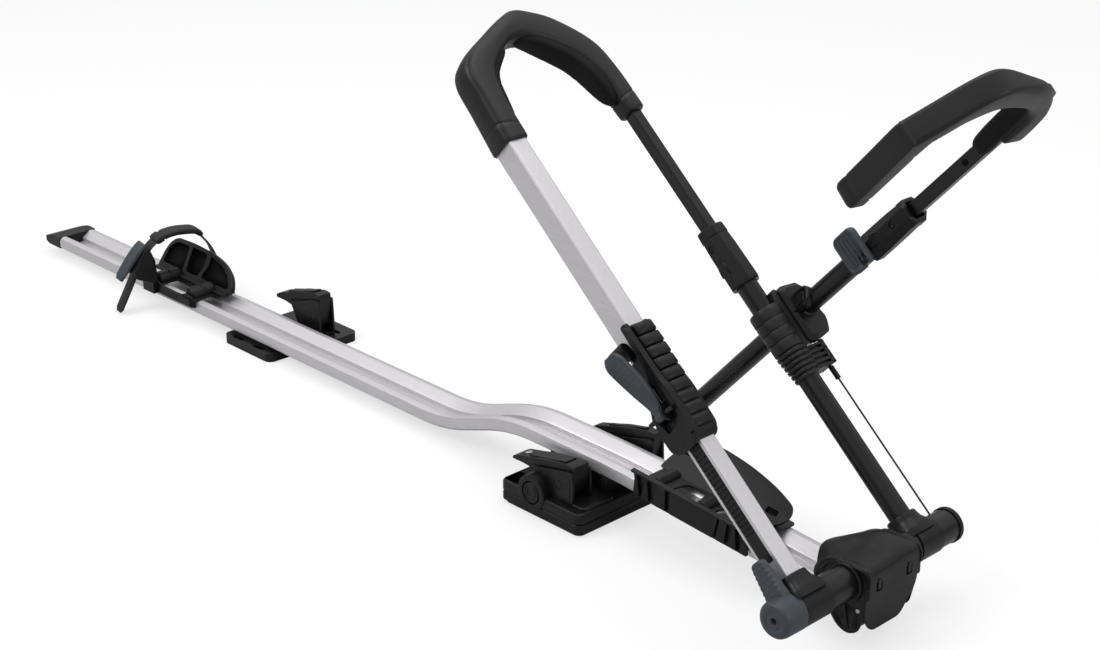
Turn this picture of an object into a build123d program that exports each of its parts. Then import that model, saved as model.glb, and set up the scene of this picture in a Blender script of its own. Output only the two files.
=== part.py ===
# Roof mounted bike carrier, in millimetres: +X is forward, +Z is up.
# The origin is the middle of the front foot's underside, which rests on the crossbar.
from build123d import *
import os
from math import cos, radians, sin

os.makedirs("parts", exist_ok=True)

# Shared clearances
seat_gap = 0.3
running_gap = 0.05
overrun = 2.0

# Rail: twin bar extrusion with a wheel channel, rising over the front foot
rail_width = 72.0
rail_height = 20.0
rail_wall = 2.0
rail_ridge_width = 5.0
rail_shoulder = 7.0
rail_corner = 3.0
channel_width = 18.0
channel_floor = 3.0
channel_lip_drop = 8.5
rail_rear_x = -1290.0
rail_front_x = 440.0
rear_deck_z = 27.5
bend_foot_x = -262.0
bend_top_x = -125.0
front_deck_z = 74.0
crest_x = 70.0
crest_z = 72.0
nose_z = 43.7
bend_radius = 260.0
crest_radius = 1400.0
cap_length = 50.0
cap_tongue = 60.0

# Cross tube and its housing
pivot_x = 458.0
pivot_z = 80.0
cross_tube_radius = 21.0
cross_tube_wall = 3.0
cross_tube_left = -141.0
cross_tube_right = 144.0
cross_cap_depth = 7.0
cross_cap_rim = 1.5
housing_half_width = 49.5
housing_wall = 4.0
housing_floor_z = 14.0
housing_back_x = 398.0
housing_front_x = 492.0
housing_top_z = 114.0
housing_split_z = 62.0
housing_corner = 9.0
bush_length = 16.0
bush_wall = 3.0

# Hoop: silver leg on the near side, black leg on the far side
hoop_angle = 41.7
silver_side = -122.0
black_side = 87.0
lower_bar_width = 24.0
lower_bar_depth = 30.0
lower_bar_wall = 2.0
lower_bar_end = 430.0
bar_corner = 4.0
socket_foot = 12.0
socket_height = 26.0
socket_wall = 5.0
strip_width = 20.0
strip_depth = 3.0
strip_start = 58.0
strip_end = 405.0
tooth_start = 96.0
tooth_pitch = 6.3
tooth_rise = 2.0
upper_bar_wall = 2.0
upper_bar_start = 342.0
leg_tube_radius = 14.0
leg_tube_wall = 2.0
leg_tube_hold = 20.0
rod_width = 16.0
rod_depth = 17.0
rod_run_in = 82.0
rod_corner = 2.0
leg_socket_rise = 60.0
leg_socket_length = 86.0
leg_socket_width = 42.0
leg_socket_depth = 38.0
leg_socket_top_width = 34.0
leg_socket_top_depth = 30.0
leg_socket_corner = 9.0

# Hoop pad and the bent core inside it
pad_depth = 42.0
pad_end_depth = 30.0
pad_foot = 640.0
pad_length = 180.0
bar_hold = 28.0
rod_hold = 25.0
pad_leg_half = 20.0
core_width = 12.0
core_depth = 12.0
liner_thickness = 6.0
liner_depth = 26.0

# Ratchet handle on the silver leg
ratchet_start = 215.0
ratchet_end = 374.0
ratchet_width = 44.0
ratchet_depth = 46.0
ratchet_corner = 7.0
grip_start = 226.0
grip_end = 368.0
grip_width = 30.0
grip_rise = 9.0
grip_ribs = 9
grip_groove = 1.6
ratchet_hinge_reach = 262.0
ratchet_hinge_out = 8.0
ratchet_lever_length = 92.0
ratchet_lever_width = 34.0
ratchet_lever_thickness = 9.0
pin_radius = 3.0
pawl_length = 22.0

# Collar, hook arm and its pad
hook_angle = 47.6
hook_side = 128.0
hook_reach = 312.0
boot_below = 76.0
boot_above = 20.0
boot_radius = 21.0
boot_ribs = 5
boot_rib_pitch = 9.0
boot_groove = 2.4
comb_fins = 4
comb_fin = 3.0
comb_pitch = 7.0
hub_length = 70.0
hub_width = 40.0
hub_depth = 46.0
hub_corner = 6.0
hook_tube_radius = 13.0
hook_tube_wall = 2.0
hook_tube_start = -232.0
hook_tube_end = 182.0
hook_socket_start = 160.0
hook_socket_end = 246.0
hook_socket_width = 38.0
hook_socket_depth = 36.0
hook_rod_width = 14.0
hook_rod_depth = 17.0
hook_rod_start = 70.0
hook_pad_depth = 32.0
hook_tail_start = 324.0
hook_pad_length = 198.0
hook_rod_hold = 124.0
hook_tail_side = -70.0
hook_pad_tilt = 6.0
hook_pad_drop = 4.0
hook_core_width = 10.0
lock_lever_start = 150.0
lock_lever_length = 44.0
lock_lever_width = 32.0
lock_lever_thickness = 10.0
lock_hinge_drop = 12.0
lock_lug = 10.0
ferrule_radius = 3.5
ferrule_length = 18.0
wire_radius = 1.2
wire_side = 132.0

# Release lever at the near end of the cross tube
knob_radius = 23.0
knob_depth = 34.0
knob_lever_length = 66.0
knob_lever_root = 34.0
knob_lever_tip = 22.0
knob_lever_thickness = 13.0

# Front foot
foot_length = 149.0
foot_near = 96.0
foot_far = 84.0
foot_height = 33.0
foot_corner = 9.0
foot_knob_x = -14.0
foot_knob_z = 34.0
foot_knob_radius = 15.0
foot_knob_depth = 9.0
foot_bump_radius = 23.0
pocket_length = 30.0
pocket_width = 34.0
pocket_depth = 12.0
pocket_wall = 4.0
saddle_length = 104.0
saddle_half_width = 30.0

# Clamp levers: near and far on the front foot, and one on the rear plate
clamp_length = 117.0
clamp_cheek = 4.0
clamp_plate = 4.0
near_clamp_x = -8.5
near_clamp_y = -67.5
near_clamp_width = 35.0
near_clamp_height = 55.0
far_clamp_x = 11.5
far_clamp_y = 53.0
far_clamp_width = 22.0
far_clamp_height = 68.0
rear_clamp_x = -714.0
rear_clamp_y = 65.0
rear_clamp_width = 30.0
rear_clamp_height = 72.0

# Rear foot plate
plate_length = 122.0
plate_center_x = -716.0
plate_near = 48.0
plate_far = 110.0
plate_tail = 21.0
plate_tail_side = 40.0
plate_height = 14.0
plate_corner = 12.0
slot_length = 26.0
slot_width = 8.0
far_slot_side = 85.0
far_slot_spacing = 86.0
near_slot_side = 41.0
near_slot_spacing = 54.0
near_slot_x = -718.0
riser_half_width = 33.0

# Front wheel tray
tray_x = 217.0
tray_length = 206.0
tray_plate = 3.5
tray_half_width = 39.0
flap_height = 34.0
flap_thickness = 3.5
flap_bar_radius = 3.5
wing_lean = 37.0
wing_height = 60.0
wing_thickness = 4.0
tray_bush_radius = 9.0
tray_bush_length = 34.0

# Rear wheel tray and its strap
rear_tray_x = -935.0
rear_tray_length = 134.0
rear_side_height = 22.0
rear_wing_length = 215.0
rear_wing_height = 54.0
strap_width = 25.0
strap_thickness = 2.6
strap_span = 125.0
strap_peak = 122.0
strap_skew = 48.0
strap_turn = 80.0
strap_bend = 30.0
strap_pad_thickness = 9.0
buckle_width = 33.0
buckle_stand = 8.0
buckle_knuckle = 4.5


def leave(piece, name):
    """Labels a finished piece and writes it."""
    piece.part.label = name
    export_step(piece.part, f"parts/{name}.step")


across = Vector(0, 1, 0)
up_leg = Vector(-cos(radians(hoop_angle)), 0, sin(radians(hoop_angle)))
off_leg = Vector(sin(radians(hoop_angle)), 0, cos(radians(hoop_angle)))
pivot = Vector(pivot_x, 0, pivot_z)


def leg_section(reach, side=0.0):
    """A plane square to the leg: x is +Y and y points under the hoop."""
    return Plane(origin=pivot + up_leg * reach + across * side, x_dir=across, z_dir=up_leg)


def leg_side(side, reach=0.0):
    """A plane along the leg: x runs up the leg and y points over the hoop."""
    return Plane(origin=pivot + up_leg * reach + across * side, x_dir=up_leg, z_dir=across)


hoop_plane = Plane(origin=pivot, x_dir=up_leg, z_dir=off_leg * -1)
along_hook = Vector(cos(radians(hook_angle)), 0, sin(radians(hook_angle)))
over_hook = Vector(-sin(radians(hook_angle)), 0, cos(radians(hook_angle)))
boot_start = hook_reach - boot_below
boot_end = hook_reach + boot_above
leg_socket_start = hook_reach + leg_socket_rise
leg_socket_end = leg_socket_start + leg_socket_length
leg_tube_end = leg_socket_start + leg_tube_hold
rod_start = leg_socket_start - rod_run_in
hook_pivot = pivot + up_leg * hook_reach


def hook_section(reach, side=0.0):
    """A plane square to the hook arm: x is +Y and y points over the arm."""
    return Plane(origin=hook_pivot + along_hook * reach + across * side, x_dir=across, z_dir=along_hook)


# Rail
half_width = rail_width / 2
half_height = rail_height / 2
ridge_y = half_width - rail_shoulder - rail_ridge_width
shoulder_share = 0.29
lip_y = channel_width / 2
lip_z = half_height - channel_lip_drop
floor_z = channel_floor - half_height
rail_start = Plane(origin=(rail_rear_x, 0, rear_deck_z), x_dir=(0, 1, 0), z_dir=(1, 0, 0))
rail_points = [
    (rail_rear_x, rear_deck_z),
    (bend_foot_x, rear_deck_z),
    (bend_top_x, front_deck_z),
    (crest_x, crest_z),
    (rail_front_x, nose_z),
]
rail_radii = [bend_radius, bend_radius, crest_radius]
rail_half_outline = [
    (0, -half_height),
    (half_width - rail_corner, -half_height),
    (half_width, rail_corner - half_height),
    (half_width, half_height - rail_shoulder),
    (half_width - shoulder_share * rail_shoulder, half_height - shoulder_share * rail_shoulder),
    (half_width - rail_shoulder, half_height),
    (ridge_y, half_height),
    (lip_y + rail_wall, lip_z),
    (lip_y, lip_z - rail_wall),
    (lip_y, floor_z),
    (0, floor_z),
]
chamber_outline = [
    (lip_y + rail_wall, rail_wall - half_height),
    (half_width - rail_wall, rail_wall - half_height),
    (half_width - rail_wall, half_height - rail_shoulder),
    (half_width - rail_shoulder, half_height - rail_wall),
    (ridge_y, half_height - rail_wall),
    (lip_y + rail_wall, lip_z - rail_wall),
]


def rail_path():
    with BuildLine(Plane.XZ) as path:
        FilletPolyline(*rail_points, radius=rail_radii)
    return path.line


with BuildPart() as rail:
    with BuildSketch(rail_start):
        with BuildLine():
            Polyline(*rail_half_outline, close=True)
        make_face()
        with BuildLine():
            Polyline(*chamber_outline, close=True)
        make_face(mode=Mode.SUBTRACT)
        mirror(about=Plane.YZ)
    sweep(path=rail_path())
leave(rail, "rail")

# The rail's full outside, which the pieces that grip it are cut to
with BuildPart(mode=Mode.PRIVATE) as rail_space:
    with BuildSketch(rail_start):
        Rectangle(rail_width, rail_height)
    sweep(path=rail_path())


# The same outside with a sliding gap round it
with BuildPart(mode=Mode.PRIVATE) as rail_bore:
    with BuildSketch(rail_start):
        Rectangle(rail_width + 2 * seat_gap, rail_height + 2 * seat_gap)
    sweep(path=rail_path())


def rail_height_at(x):
    """The height of the rail's middle on its front deck."""
    return crest_z + (nose_z - crest_z) * (x - crest_x) / (rail_front_x - crest_x)


# Rear end cap: closes both bars and has a tongue in the channel
with BuildPart() as rail_end_cap:
    with BuildSketch(Plane.XZ.offset(-half_width)):
        with BuildLine():
            Polyline(
                (rail_rear_x, rear_deck_z - half_height),
                (rail_rear_x, rear_deck_z + half_height),
                (rail_rear_x - cap_length / 2, rear_deck_z + half_height),
                (rail_rear_x - cap_length, rear_deck_z + half_height / 4),
                (rail_rear_x - cap_length, rear_deck_z - half_height / 2),
                (rail_rear_x - cap_length * 3 / 4, rear_deck_z - half_height),
                close=True,
            )
        make_face()
    extrude(amount=rail_width)
    fillet(rail_end_cap.edges().filter_by(Axis.Z), rail_corner)
    with BuildSketch(Plane.YZ.offset(rail_rear_x - overrun)):
        with Locations((0, rear_deck_z + (floor_z + lip_z) / 2)):
            Rectangle(channel_width - 2 * seat_gap, lip_z - floor_z - 2 * seat_gap)
    extrude(amount=cap_tongue + overrun)
leave(rail_end_cap, "rail_end_cap")

# Housing: saddle block under the cross tube, shell over it and a front cover
bore_radius = cross_tube_radius + bush_wall
with BuildPart() as housing_base:
    with BuildSketch(Plane.XZ.offset(-housing_half_width + housing_wall)):
        with BuildLine():
            Polyline(
                (housing_back_x + housing_wall, housing_floor_z + housing_wall),
                (housing_back_x + housing_wall, housing_split_z),
                (pivot_x, pivot_z),
                (housing_front_x - housing_wall - housing_corner, housing_split_z),
                (housing_front_x - housing_wall - 2 * housing_corner, housing_floor_z),
                (housing_back_x + 3 * housing_corner, housing_floor_z),
                close=True,
            )
        make_face()
    extrude(amount=2 * (housing_half_width - housing_wall))
    with BuildSketch(Plane.XZ.offset(-housing_half_width)):
        with Locations((pivot_x, pivot_z)):
            Circle(bore_radius)
    extrude(amount=2 * housing_half_width, mode=Mode.SUBTRACT)
    add(rail_space.part, mode=Mode.SUBTRACT)
leave(housing_base, "housing_base")

with BuildPart() as housing_shell:
    with BuildSketch(Plane.XZ.offset(-housing_half_width)):
        with BuildLine():
            Polyline(
                (housing_back_x, housing_split_z + seat_gap),
                (housing_back_x, pivot_z + housing_corner),
                (pivot_x - cross_tube_radius, housing_top_z - housing_corner / 2),
                (pivot_x + housing_corner, housing_top_z),
                (housing_front_x - housing_corner, pivot_z + 2 * housing_corner),
                (housing_front_x, pivot_z + housing_corner),
                (housing_front_x, housing_split_z + seat_gap),
                close=True,
            )
        make_face()
    extrude(amount=2 * housing_half_width)
    fillet(housing_shell.edges().filter_by(Axis.Y).group_by(Axis.Z)[1:], housing_wall)
    with BuildSketch(Plane.XZ.offset(-housing_half_width)):
        with Locations((pivot_x, pivot_z)):
            Circle(bore_radius)
        with Locations((pivot_x, (pivot_z + housing_split_z) / 2)):
            Rectangle(2 * bore_radius, pivot_z - housing_split_z + 2 * seat_gap)
    extrude(amount=2 * housing_half_width, mode=Mode.SUBTRACT)
    add(housing_base.part, mode=Mode.SUBTRACT)
leave(housing_shell, "housing_shell")

# Front cover: narrows towards its foot and has two latch windows
cover_wall_x = housing_front_x - housing_wall
with BuildPart() as front_cover:
    with BuildSketch(Plane.YZ.offset(cover_wall_x)):
        with BuildLine():
            Polyline(
                (-housing_half_width, housing_split_z),
                (housing_half_width, housing_split_z),
                (housing_half_width, housing_split_z - 2 * housing_corner),
                (housing_half_width - housing_corner - housing_wall, housing_floor_z),
                (housing_corner + housing_wall - housing_half_width, housing_floor_z),
                (-housing_half_width, housing_split_z - 2 * housing_corner),
                close=True,
            )
        make_face()
        with Locations(
            (housing_half_width / 2, housing_split_z - housing_corner),
            (-housing_half_width / 2, housing_split_z - housing_corner),
        ):
            Rectangle(housing_corner, housing_corner, mode=Mode.SUBTRACT)
    extrude(amount=housing_wall)
leave(front_cover, "front_cover")

# Bushes that carry the cross tube, one at each end of the housing
with BuildPart() as tube_bushes:
    for edge in (-housing_half_width, housing_half_width - bush_length):
        with BuildSketch(Plane.XZ.offset(-edge - bush_length)):
            with Locations((pivot_x, pivot_z)):
                Circle(bore_radius)
                Circle(cross_tube_radius + running_gap, mode=Mode.SUBTRACT)
        extrude(amount=bush_length)
leave(tube_bushes, "tube_bushes")

# Cross tube: turns in the bushes and carries both legs
with BuildPart() as cross_tube:
    with BuildSketch(Plane.XZ.offset(-cross_tube_right)):
        with Locations((pivot_x, pivot_z)):
            Circle(cross_tube_radius)
            Circle(cross_tube_radius - cross_tube_wall, mode=Mode.SUBTRACT)
    extrude(amount=cross_tube_right - cross_tube_left)
leave(cross_tube, "cross_tube")

with BuildPart() as cross_tube_cap:
    with BuildSketch(Plane.XZ.offset(-cross_tube_right - cross_cap_depth)):
        with Locations((pivot_x, pivot_z)):
            Circle(cross_tube_radius + cross_cap_rim)
    extrude(amount=cross_cap_depth)
    fillet(cross_tube_cap.edges().filter_by(GeomType.CIRCLE).sort_by(Axis.Y)[-1], cross_cap_rim)
leave(cross_tube_cap, "cross_tube_cap")

# Sockets on the cross tube for the two legs
silver_foot_width = lower_bar_width + 2 * socket_wall
silver_foot_depth = lower_bar_depth + 2 * socket_wall
with BuildPart() as silver_leg_socket:
    with BuildSketch(leg_section(socket_foot, silver_side)):
        RectangleRounded(silver_foot_width, silver_foot_depth, socket_wall)
    extrude(amount=socket_height)
    with BuildSketch(leg_section(socket_height, silver_side)):
        Rectangle(lower_bar_width, lower_bar_depth)
    extrude(amount=socket_height, mode=Mode.SUBTRACT)
    add(cross_tube.part, mode=Mode.SUBTRACT)
    with BuildSketch(Plane.XZ.offset(-cross_tube_right)):
        with Locations((pivot_x, pivot_z)):
            Circle(cross_tube_radius)
    extrude(amount=cross_tube_right - cross_tube_left, mode=Mode.SUBTRACT)
leave(silver_leg_socket, "silver_leg_socket")

black_foot_radius = leg_tube_radius + socket_wall
with BuildPart() as black_leg_socket:
    with BuildSketch(leg_section(socket_foot, black_side)):
        Circle(black_foot_radius)
    extrude(amount=socket_height)
    with BuildSketch(leg_section(socket_height, black_side)):
        Circle(leg_tube_radius)
    extrude(amount=socket_height, mode=Mode.SUBTRACT)
    with BuildSketch(Plane.XZ.offset(-cross_tube_right)):
        with Locations((pivot_x, pivot_z)):
            Circle(cross_tube_radius)
    extrude(amount=cross_tube_right - cross_tube_left, mode=Mode.SUBTRACT)
leave(black_leg_socket, "black_leg_socket")

# Silver leg: the lower bar carries the toothed strip and slides in the upper bar
with BuildPart() as silver_lower_bar:
    with BuildSketch(leg_section(socket_height, silver_side)):
        RectangleRounded(lower_bar_width, lower_bar_depth, bar_corner / 2)
        with Locations((strip_depth / 2, 0)):
            Rectangle(
                lower_bar_width - 2 * lower_bar_wall - strip_depth,
                lower_bar_depth - 2 * lower_bar_wall,
                mode=Mode.SUBTRACT,
            )
    extrude(amount=lower_bar_end - socket_height)
    with BuildSketch(leg_section(strip_start, silver_side)):
        with Locations(((strip_depth - lower_bar_width) / 2, 0)):
            Rectangle(strip_depth, strip_width)
    extrude(amount=lower_bar_end, mode=Mode.SUBTRACT)
leave(silver_lower_bar, "silver_lower_bar")

tooth_count = int((strip_end - tooth_start) / tooth_pitch)
strip_face = silver_side - lower_bar_width / 2 + tooth_rise
with BuildPart() as tooth_strip:
    with BuildSketch(leg_side(strip_face - running_gap)):
        with Locations(((strip_start + strip_end) / 2, 0)):
            Rectangle(strip_end - strip_start - seat_gap, strip_width - seat_gap)
    extrude(amount=strip_depth - tooth_rise)
    with BuildSketch(leg_side(strip_face - tooth_rise)):
        for tooth in range(tooth_count):
            with Locations((tooth_start + (tooth + 1 / 2) * tooth_pitch, 0)):
                Rectangle(tooth_pitch / 2, strip_width - seat_gap)
        with Locations(((strip_start + tooth_start) / 2, 0)):
            Rectangle(tooth_start - strip_start - seat_gap, strip_width - seat_gap)
    extrude(amount=tooth_rise)
leave(tooth_strip, "tooth_strip")

upper_bar_width = lower_bar_width + 2 * upper_bar_wall + 2 * seat_gap
upper_bar_depth = lower_bar_depth + 2 * upper_bar_wall + 2 * seat_gap
upper_bar_end = pad_foot + bar_hold
with BuildPart() as silver_upper_bar:
    with BuildSketch(leg_section(upper_bar_start, silver_side)):
        RectangleRounded(upper_bar_width, upper_bar_depth, bar_corner)
        RectangleRounded(
            lower_bar_width + 2 * seat_gap, lower_bar_depth + 2 * seat_gap, bar_corner / 2, mode=Mode.SUBTRACT
        )
    extrude(amount=upper_bar_end - upper_bar_start)
leave(silver_upper_bar, "silver_upper_bar")

# The lever turns on a pin that is square to the hoop and stands off the near side
lever_hinge_y = silver_side - ratchet_width / 2 - ratchet_hinge_out
lever_knuckle = pin_radius + bar_corner
lever_point = pivot + up_leg * ratchet_hinge_reach + across * lever_hinge_y
lever_plane = Plane(origin=lever_point, x_dir=up_leg, z_dir=off_leg * -1)
# Ratchet handle: body round both bars, ribbed grip, lever, pin and pawl
with BuildPart() as ratchet_body:
    with BuildSketch(leg_section(ratchet_start, silver_side)):
        RectangleRounded(ratchet_width, ratchet_depth, ratchet_corner)
    extrude(amount=ratchet_end - ratchet_start)
    chamfer(ratchet_body.faces().sort_by(Axis.Z)[-1].edges(), bar_corner)
    with BuildSketch(leg_section(ratchet_start - overrun, silver_side)):
        Rectangle(lower_bar_width + 2 * seat_gap, lower_bar_depth + 2 * seat_gap)
    extrude(amount=ratchet_end, mode=Mode.SUBTRACT)
    with BuildSketch(leg_section(upper_bar_start, silver_side)):
        RectangleRounded(upper_bar_width, upper_bar_depth, bar_corner)
    extrude(amount=ratchet_end, mode=Mode.SUBTRACT)
    with BuildSketch(lever_plane):
        with Locations((0, ratchet_hinge_out / 2)):
            Rectangle(2 * lever_knuckle, ratchet_hinge_out + seat_gap)
        Circle(lever_knuckle)
    extrude(amount=ratchet_depth / 2, both=True)
    with BuildSketch(lever_plane):
        with Locations((0, -lever_knuckle)):
            Rectangle(4 * lever_knuckle, 2 * lever_knuckle + 2 * ratchet_hinge_out - 2 * seat_gap)
    extrude(amount=ratchet_lever_width / 2 + seat_gap, both=True, mode=Mode.SUBTRACT)
    with BuildSketch(lever_plane):
        Circle(pin_radius)
    extrude(amount=ratchet_depth / 2, both=True, mode=Mode.SUBTRACT)
    with BuildSketch(leg_side(silver_side - ratchet_width / 2 - overrun)):
        with Locations((ratchet_hinge_reach + pawl_length, 0)):
            Rectangle(pawl_length + 2 * seat_gap, strip_width / 2 + 2 * seat_gap)
    extrude(amount=ratchet_width / 2, mode=Mode.SUBTRACT)
leave(ratchet_body, "ratchet_body")

with BuildPart() as ratchet_pawl:
    with BuildSketch(leg_side(silver_side - ratchet_width / 2)):
        with Locations((ratchet_hinge_reach + pawl_length, 0)):
            Rectangle(pawl_length, strip_width / 2)
    extrude(amount=(ratchet_width - lower_bar_width) / 2 - seat_gap)
leave(ratchet_pawl, "ratchet_pawl")

grip_foot = ratchet_depth / 2
with BuildPart() as ratchet_grip:
    with BuildSketch(leg_side(silver_side - grip_width / 2)):
        with BuildLine():
            Polyline(
                (grip_start, grip_foot),
                (grip_start + grip_rise / 2, grip_foot + grip_rise),
                (grip_end - grip_rise, grip_foot + grip_rise),
                (grip_end, grip_foot + grip_rise / 4),
                (grip_end, grip_foot),
                close=True,
            )
        make_face()
    extrude(amount=grip_width)
    fillet(ratchet_grip.edges().filter_by(lambda e: abs(e.tangent_at(0).Y) < 1 / 2).sort_by(Axis.Z)[-6:], grip_groove)
    rib_pitch = (grip_end - grip_start - 2 * grip_rise) / grip_ribs
    with BuildSketch(leg_side(silver_side - grip_width / 2)):
        for rib in range(1, grip_ribs):
            with Locations((grip_start + grip_rise + rib * rib_pitch, grip_foot + grip_rise)):
                Rectangle(grip_groove, 2 * grip_groove)
    extrude(amount=grip_width, mode=Mode.SUBTRACT)
leave(ratchet_grip, "ratchet_grip")

with BuildPart() as ratchet_lever:
    with BuildSketch(lever_plane):
        Circle(lever_knuckle)
        with BuildLine():
            Polyline(
                (0, -lever_knuckle),
                (ratchet_lever_length * 2 / 3, -lever_knuckle - 2 * ratchet_lever_thickness),
                (ratchet_lever_length, -lever_knuckle - 2 * ratchet_lever_thickness),
                (ratchet_lever_length, -lever_knuckle - ratchet_lever_thickness),
                (ratchet_lever_length * 2 / 3, -lever_knuckle - ratchet_lever_thickness),
                (lever_knuckle, 0),
                close=True,
            )
        make_face()
        Circle(pin_radius + running_gap, mode=Mode.SUBTRACT)
    extrude(amount=ratchet_lever_width / 2, both=True)
    fillet(ratchet_lever.edges().filter_by(lambda e: abs(e.tangent_at(0).Z) > 1 / 2).sort_by(Axis.X)[:2], bar_corner)
leave(ratchet_lever, "ratchet_lever")

with BuildPart() as ratchet_pin:
    with BuildSketch(lever_plane):
        Circle(pin_radius)
    extrude(amount=ratchet_depth / 2, both=True)
leave(ratchet_pin, "ratchet_pin")

# Black leg: tube, clamp socket and the rod that slides in it
with BuildPart() as leg_tube:
    with BuildSketch(leg_section(socket_height, black_side)):
        Circle(leg_tube_radius)
        Circle(leg_tube_radius - leg_tube_wall, mode=Mode.SUBTRACT)
    extrude(amount=leg_tube_end - socket_height)
leave(leg_tube, "leg_tube")

with BuildPart() as leg_socket:
    with BuildSketch(leg_section(leg_socket_start, black_side)):
        RectangleRounded(leg_socket_width, leg_socket_depth, leg_socket_corner)
    with BuildSketch(leg_section(leg_socket_end, black_side)):
        RectangleRounded(leg_socket_top_width, leg_socket_top_depth, leg_socket_corner)
    loft()
    with BuildSketch(leg_section(leg_socket_start - overrun, black_side)):
        Circle(leg_tube_radius)
    extrude(amount=leg_tube_end - leg_socket_start + overrun, mode=Mode.SUBTRACT)
    with BuildSketch(leg_section(leg_tube_end - overrun, black_side)):
        Rectangle(rod_width + 2 * seat_gap, rod_depth + 2 * seat_gap)
    extrude(amount=leg_socket_end, mode=Mode.SUBTRACT)
leave(leg_socket, "leg_socket")

rod_end = pad_foot + rod_hold
with BuildPart() as hoop_rod:
    with BuildSketch(leg_section(rod_start, black_side)):
        RectangleRounded(rod_width, rod_depth, rod_corner)
    extrude(amount=rod_end - rod_start)
leave(hoop_rod, "hoop_rod")

# Hoop pad: the padded arch over the tyre, cut round the bar, the rod and the core
side_span = black_side - silver_side
pad_outer_shares = [
    (0, -0.091), (0.611, -0.038), (0.711, 0.067), (0.956, 0.44), (1, 0.545), (0.956, 0.632),
    (0.817, 0.813), (0.583, 1.005), (0.333, 1.057), (0, 1.067),
]
pad_inner_shares = [
    (0, 0.933), (0.278, 0.919), (0.5, 0.823), (0.722, 0.584), (0.75, 0.44), (0.528, 0.129), (0, 0.091),
]
core_shares = [(0.444, 0), (0.62, 0.077), (0.867, 0.5), (0.62, 0.89), (0.361, 1)]


def pad_point(share):
    return (pad_foot + share[0] * pad_length, silver_side + share[1] * side_span)


pad_outer = [pad_point(share) for share in pad_outer_shares]
pad_inner = [pad_point(share) for share in pad_inner_shares]
core_path_points = [
    (upper_bar_end + seat_gap, silver_side),
    *[pad_point(share) for share in core_shares],
    (rod_end + seat_gap, black_side),
]
with BuildPart() as hoop_core:
    with BuildSketch(hoop_plane):
        with BuildLine():
            core_line = FilletPolyline(*core_path_points, radius=core_width)
        trace(core_line, line_width=core_width)
    extrude(amount=core_depth / 2, both=True)
leave(hoop_core, "hoop_core")

# Liner strip let into the pad's inner face
with BuildPart() as hoop_liner:
    with BuildSketch(hoop_plane):
        with BuildLine():
            liner_line = Polyline(*pad_inner[1:-1])
        trace(liner_line, line_width=liner_thickness)
    extrude(amount=liner_depth / 2, both=True)
leave(hoop_liner, "hoop_liner")

with BuildPart() as hoop_pad:
    with BuildSketch(hoop_plane):
        with BuildLine():
            Polyline(*pad_outer, *pad_inner, close=True)
        make_face()
    extrude(amount=pad_depth / 2, both=True)
    with BuildSketch(leg_side(black_side)):
        with BuildLine():
            Polyline(
                (pad_foot - overrun, pad_end_depth / 2),
                (pad_foot + pad_length / 2, pad_depth / 2),
                (pad_foot - overrun, pad_depth),
                close=True,
            )
        make_face()
        mirror(about=Plane.XZ)
    extrude(amount=2 * pad_leg_half, both=True, mode=Mode.SUBTRACT)
    add(hoop_core.part, mode=Mode.SUBTRACT)
    add(hoop_liner.part, mode=Mode.SUBTRACT)
    with BuildSketch(leg_section(pad_foot - overrun, silver_side)):
        RectangleRounded(upper_bar_width, upper_bar_depth, bar_corner)
    extrude(amount=upper_bar_end - pad_foot + overrun + seat_gap, mode=Mode.SUBTRACT)
    with BuildSketch(leg_section(pad_foot - overrun, black_side)):
        RectangleRounded(rod_width, rod_depth, rod_corner)
    extrude(amount=rod_end - pad_foot + overrun + seat_gap, mode=Mode.SUBTRACT)
leave(hoop_pad, "hoop_pad")

# Collar on the black leg: ribbed boot with a comb that holds the wire
boot_outer = [(boot_start, boot_radius * 3 / 4)]
for rib in range(boot_ribs):
    rib_radius = boot_radius * (3 / 4 + rib / boot_ribs / 4)
    rib_foot = boot_start + rib * boot_rib_pitch
    boot_outer.append((rib_foot, rib_radius))
    boot_outer.append((rib_foot + boot_rib_pitch - boot_groove, rib_radius))
    boot_outer.append((rib_foot + boot_rib_pitch - boot_groove, rib_radius - boot_groove / 2))
    boot_outer.append((rib_foot + boot_rib_pitch, rib_radius - boot_groove / 2))
boot_outer.append((boot_start + boot_ribs * boot_rib_pitch, boot_radius))
boot_outer.append((boot_end, boot_radius))
with BuildPart() as collar_boot:
    with BuildSketch(leg_side(black_side)):
        with BuildLine():
            Polyline(
                (boot_start, leg_tube_radius),
                *boot_outer[1:],
                (boot_end, leg_tube_radius),
                close=True,
            )
        make_face()
    revolve(axis=Axis(origin=pivot + across * black_side, direction=up_leg))
    with BuildSketch(leg_side(black_side + leg_tube_radius)):
        for fin in range(comb_fins):
            with Locations((boot_start + comb_fin / 2 + fin * comb_pitch, 0)):
                Rectangle(comb_fin, boot_radius)
        with Locations((boot_start + comb_fins * comb_pitch / 2, 0)):
            Rectangle(comb_fins * comb_pitch - comb_fin, comb_fin)
    extrude(amount=wire_side + ferrule_radius - black_side - leg_tube_radius)
    with BuildSketch(leg_side(black_side)):
        with Locations((hook_reach, 0)):
            Circle(pin_radius)
    extrude(amount=hub_width, mode=Mode.SUBTRACT)
    with BuildSketch(leg_section(boot_start - overrun, black_side)):
        Circle(leg_tube_radius)
    extrude(amount=boot_end, mode=Mode.SUBTRACT)
leave(collar_boot, "collar_boot")

wire_top = boot_start
with BuildPart() as wire_ferrule:
    with BuildSketch(leg_section(wire_top - ferrule_length, wire_side)):
        Circle(ferrule_radius)
        Circle(wire_radius, mode=Mode.SUBTRACT)
    extrude(amount=ferrule_length)
leave(wire_ferrule, "wire_ferrule")

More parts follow.
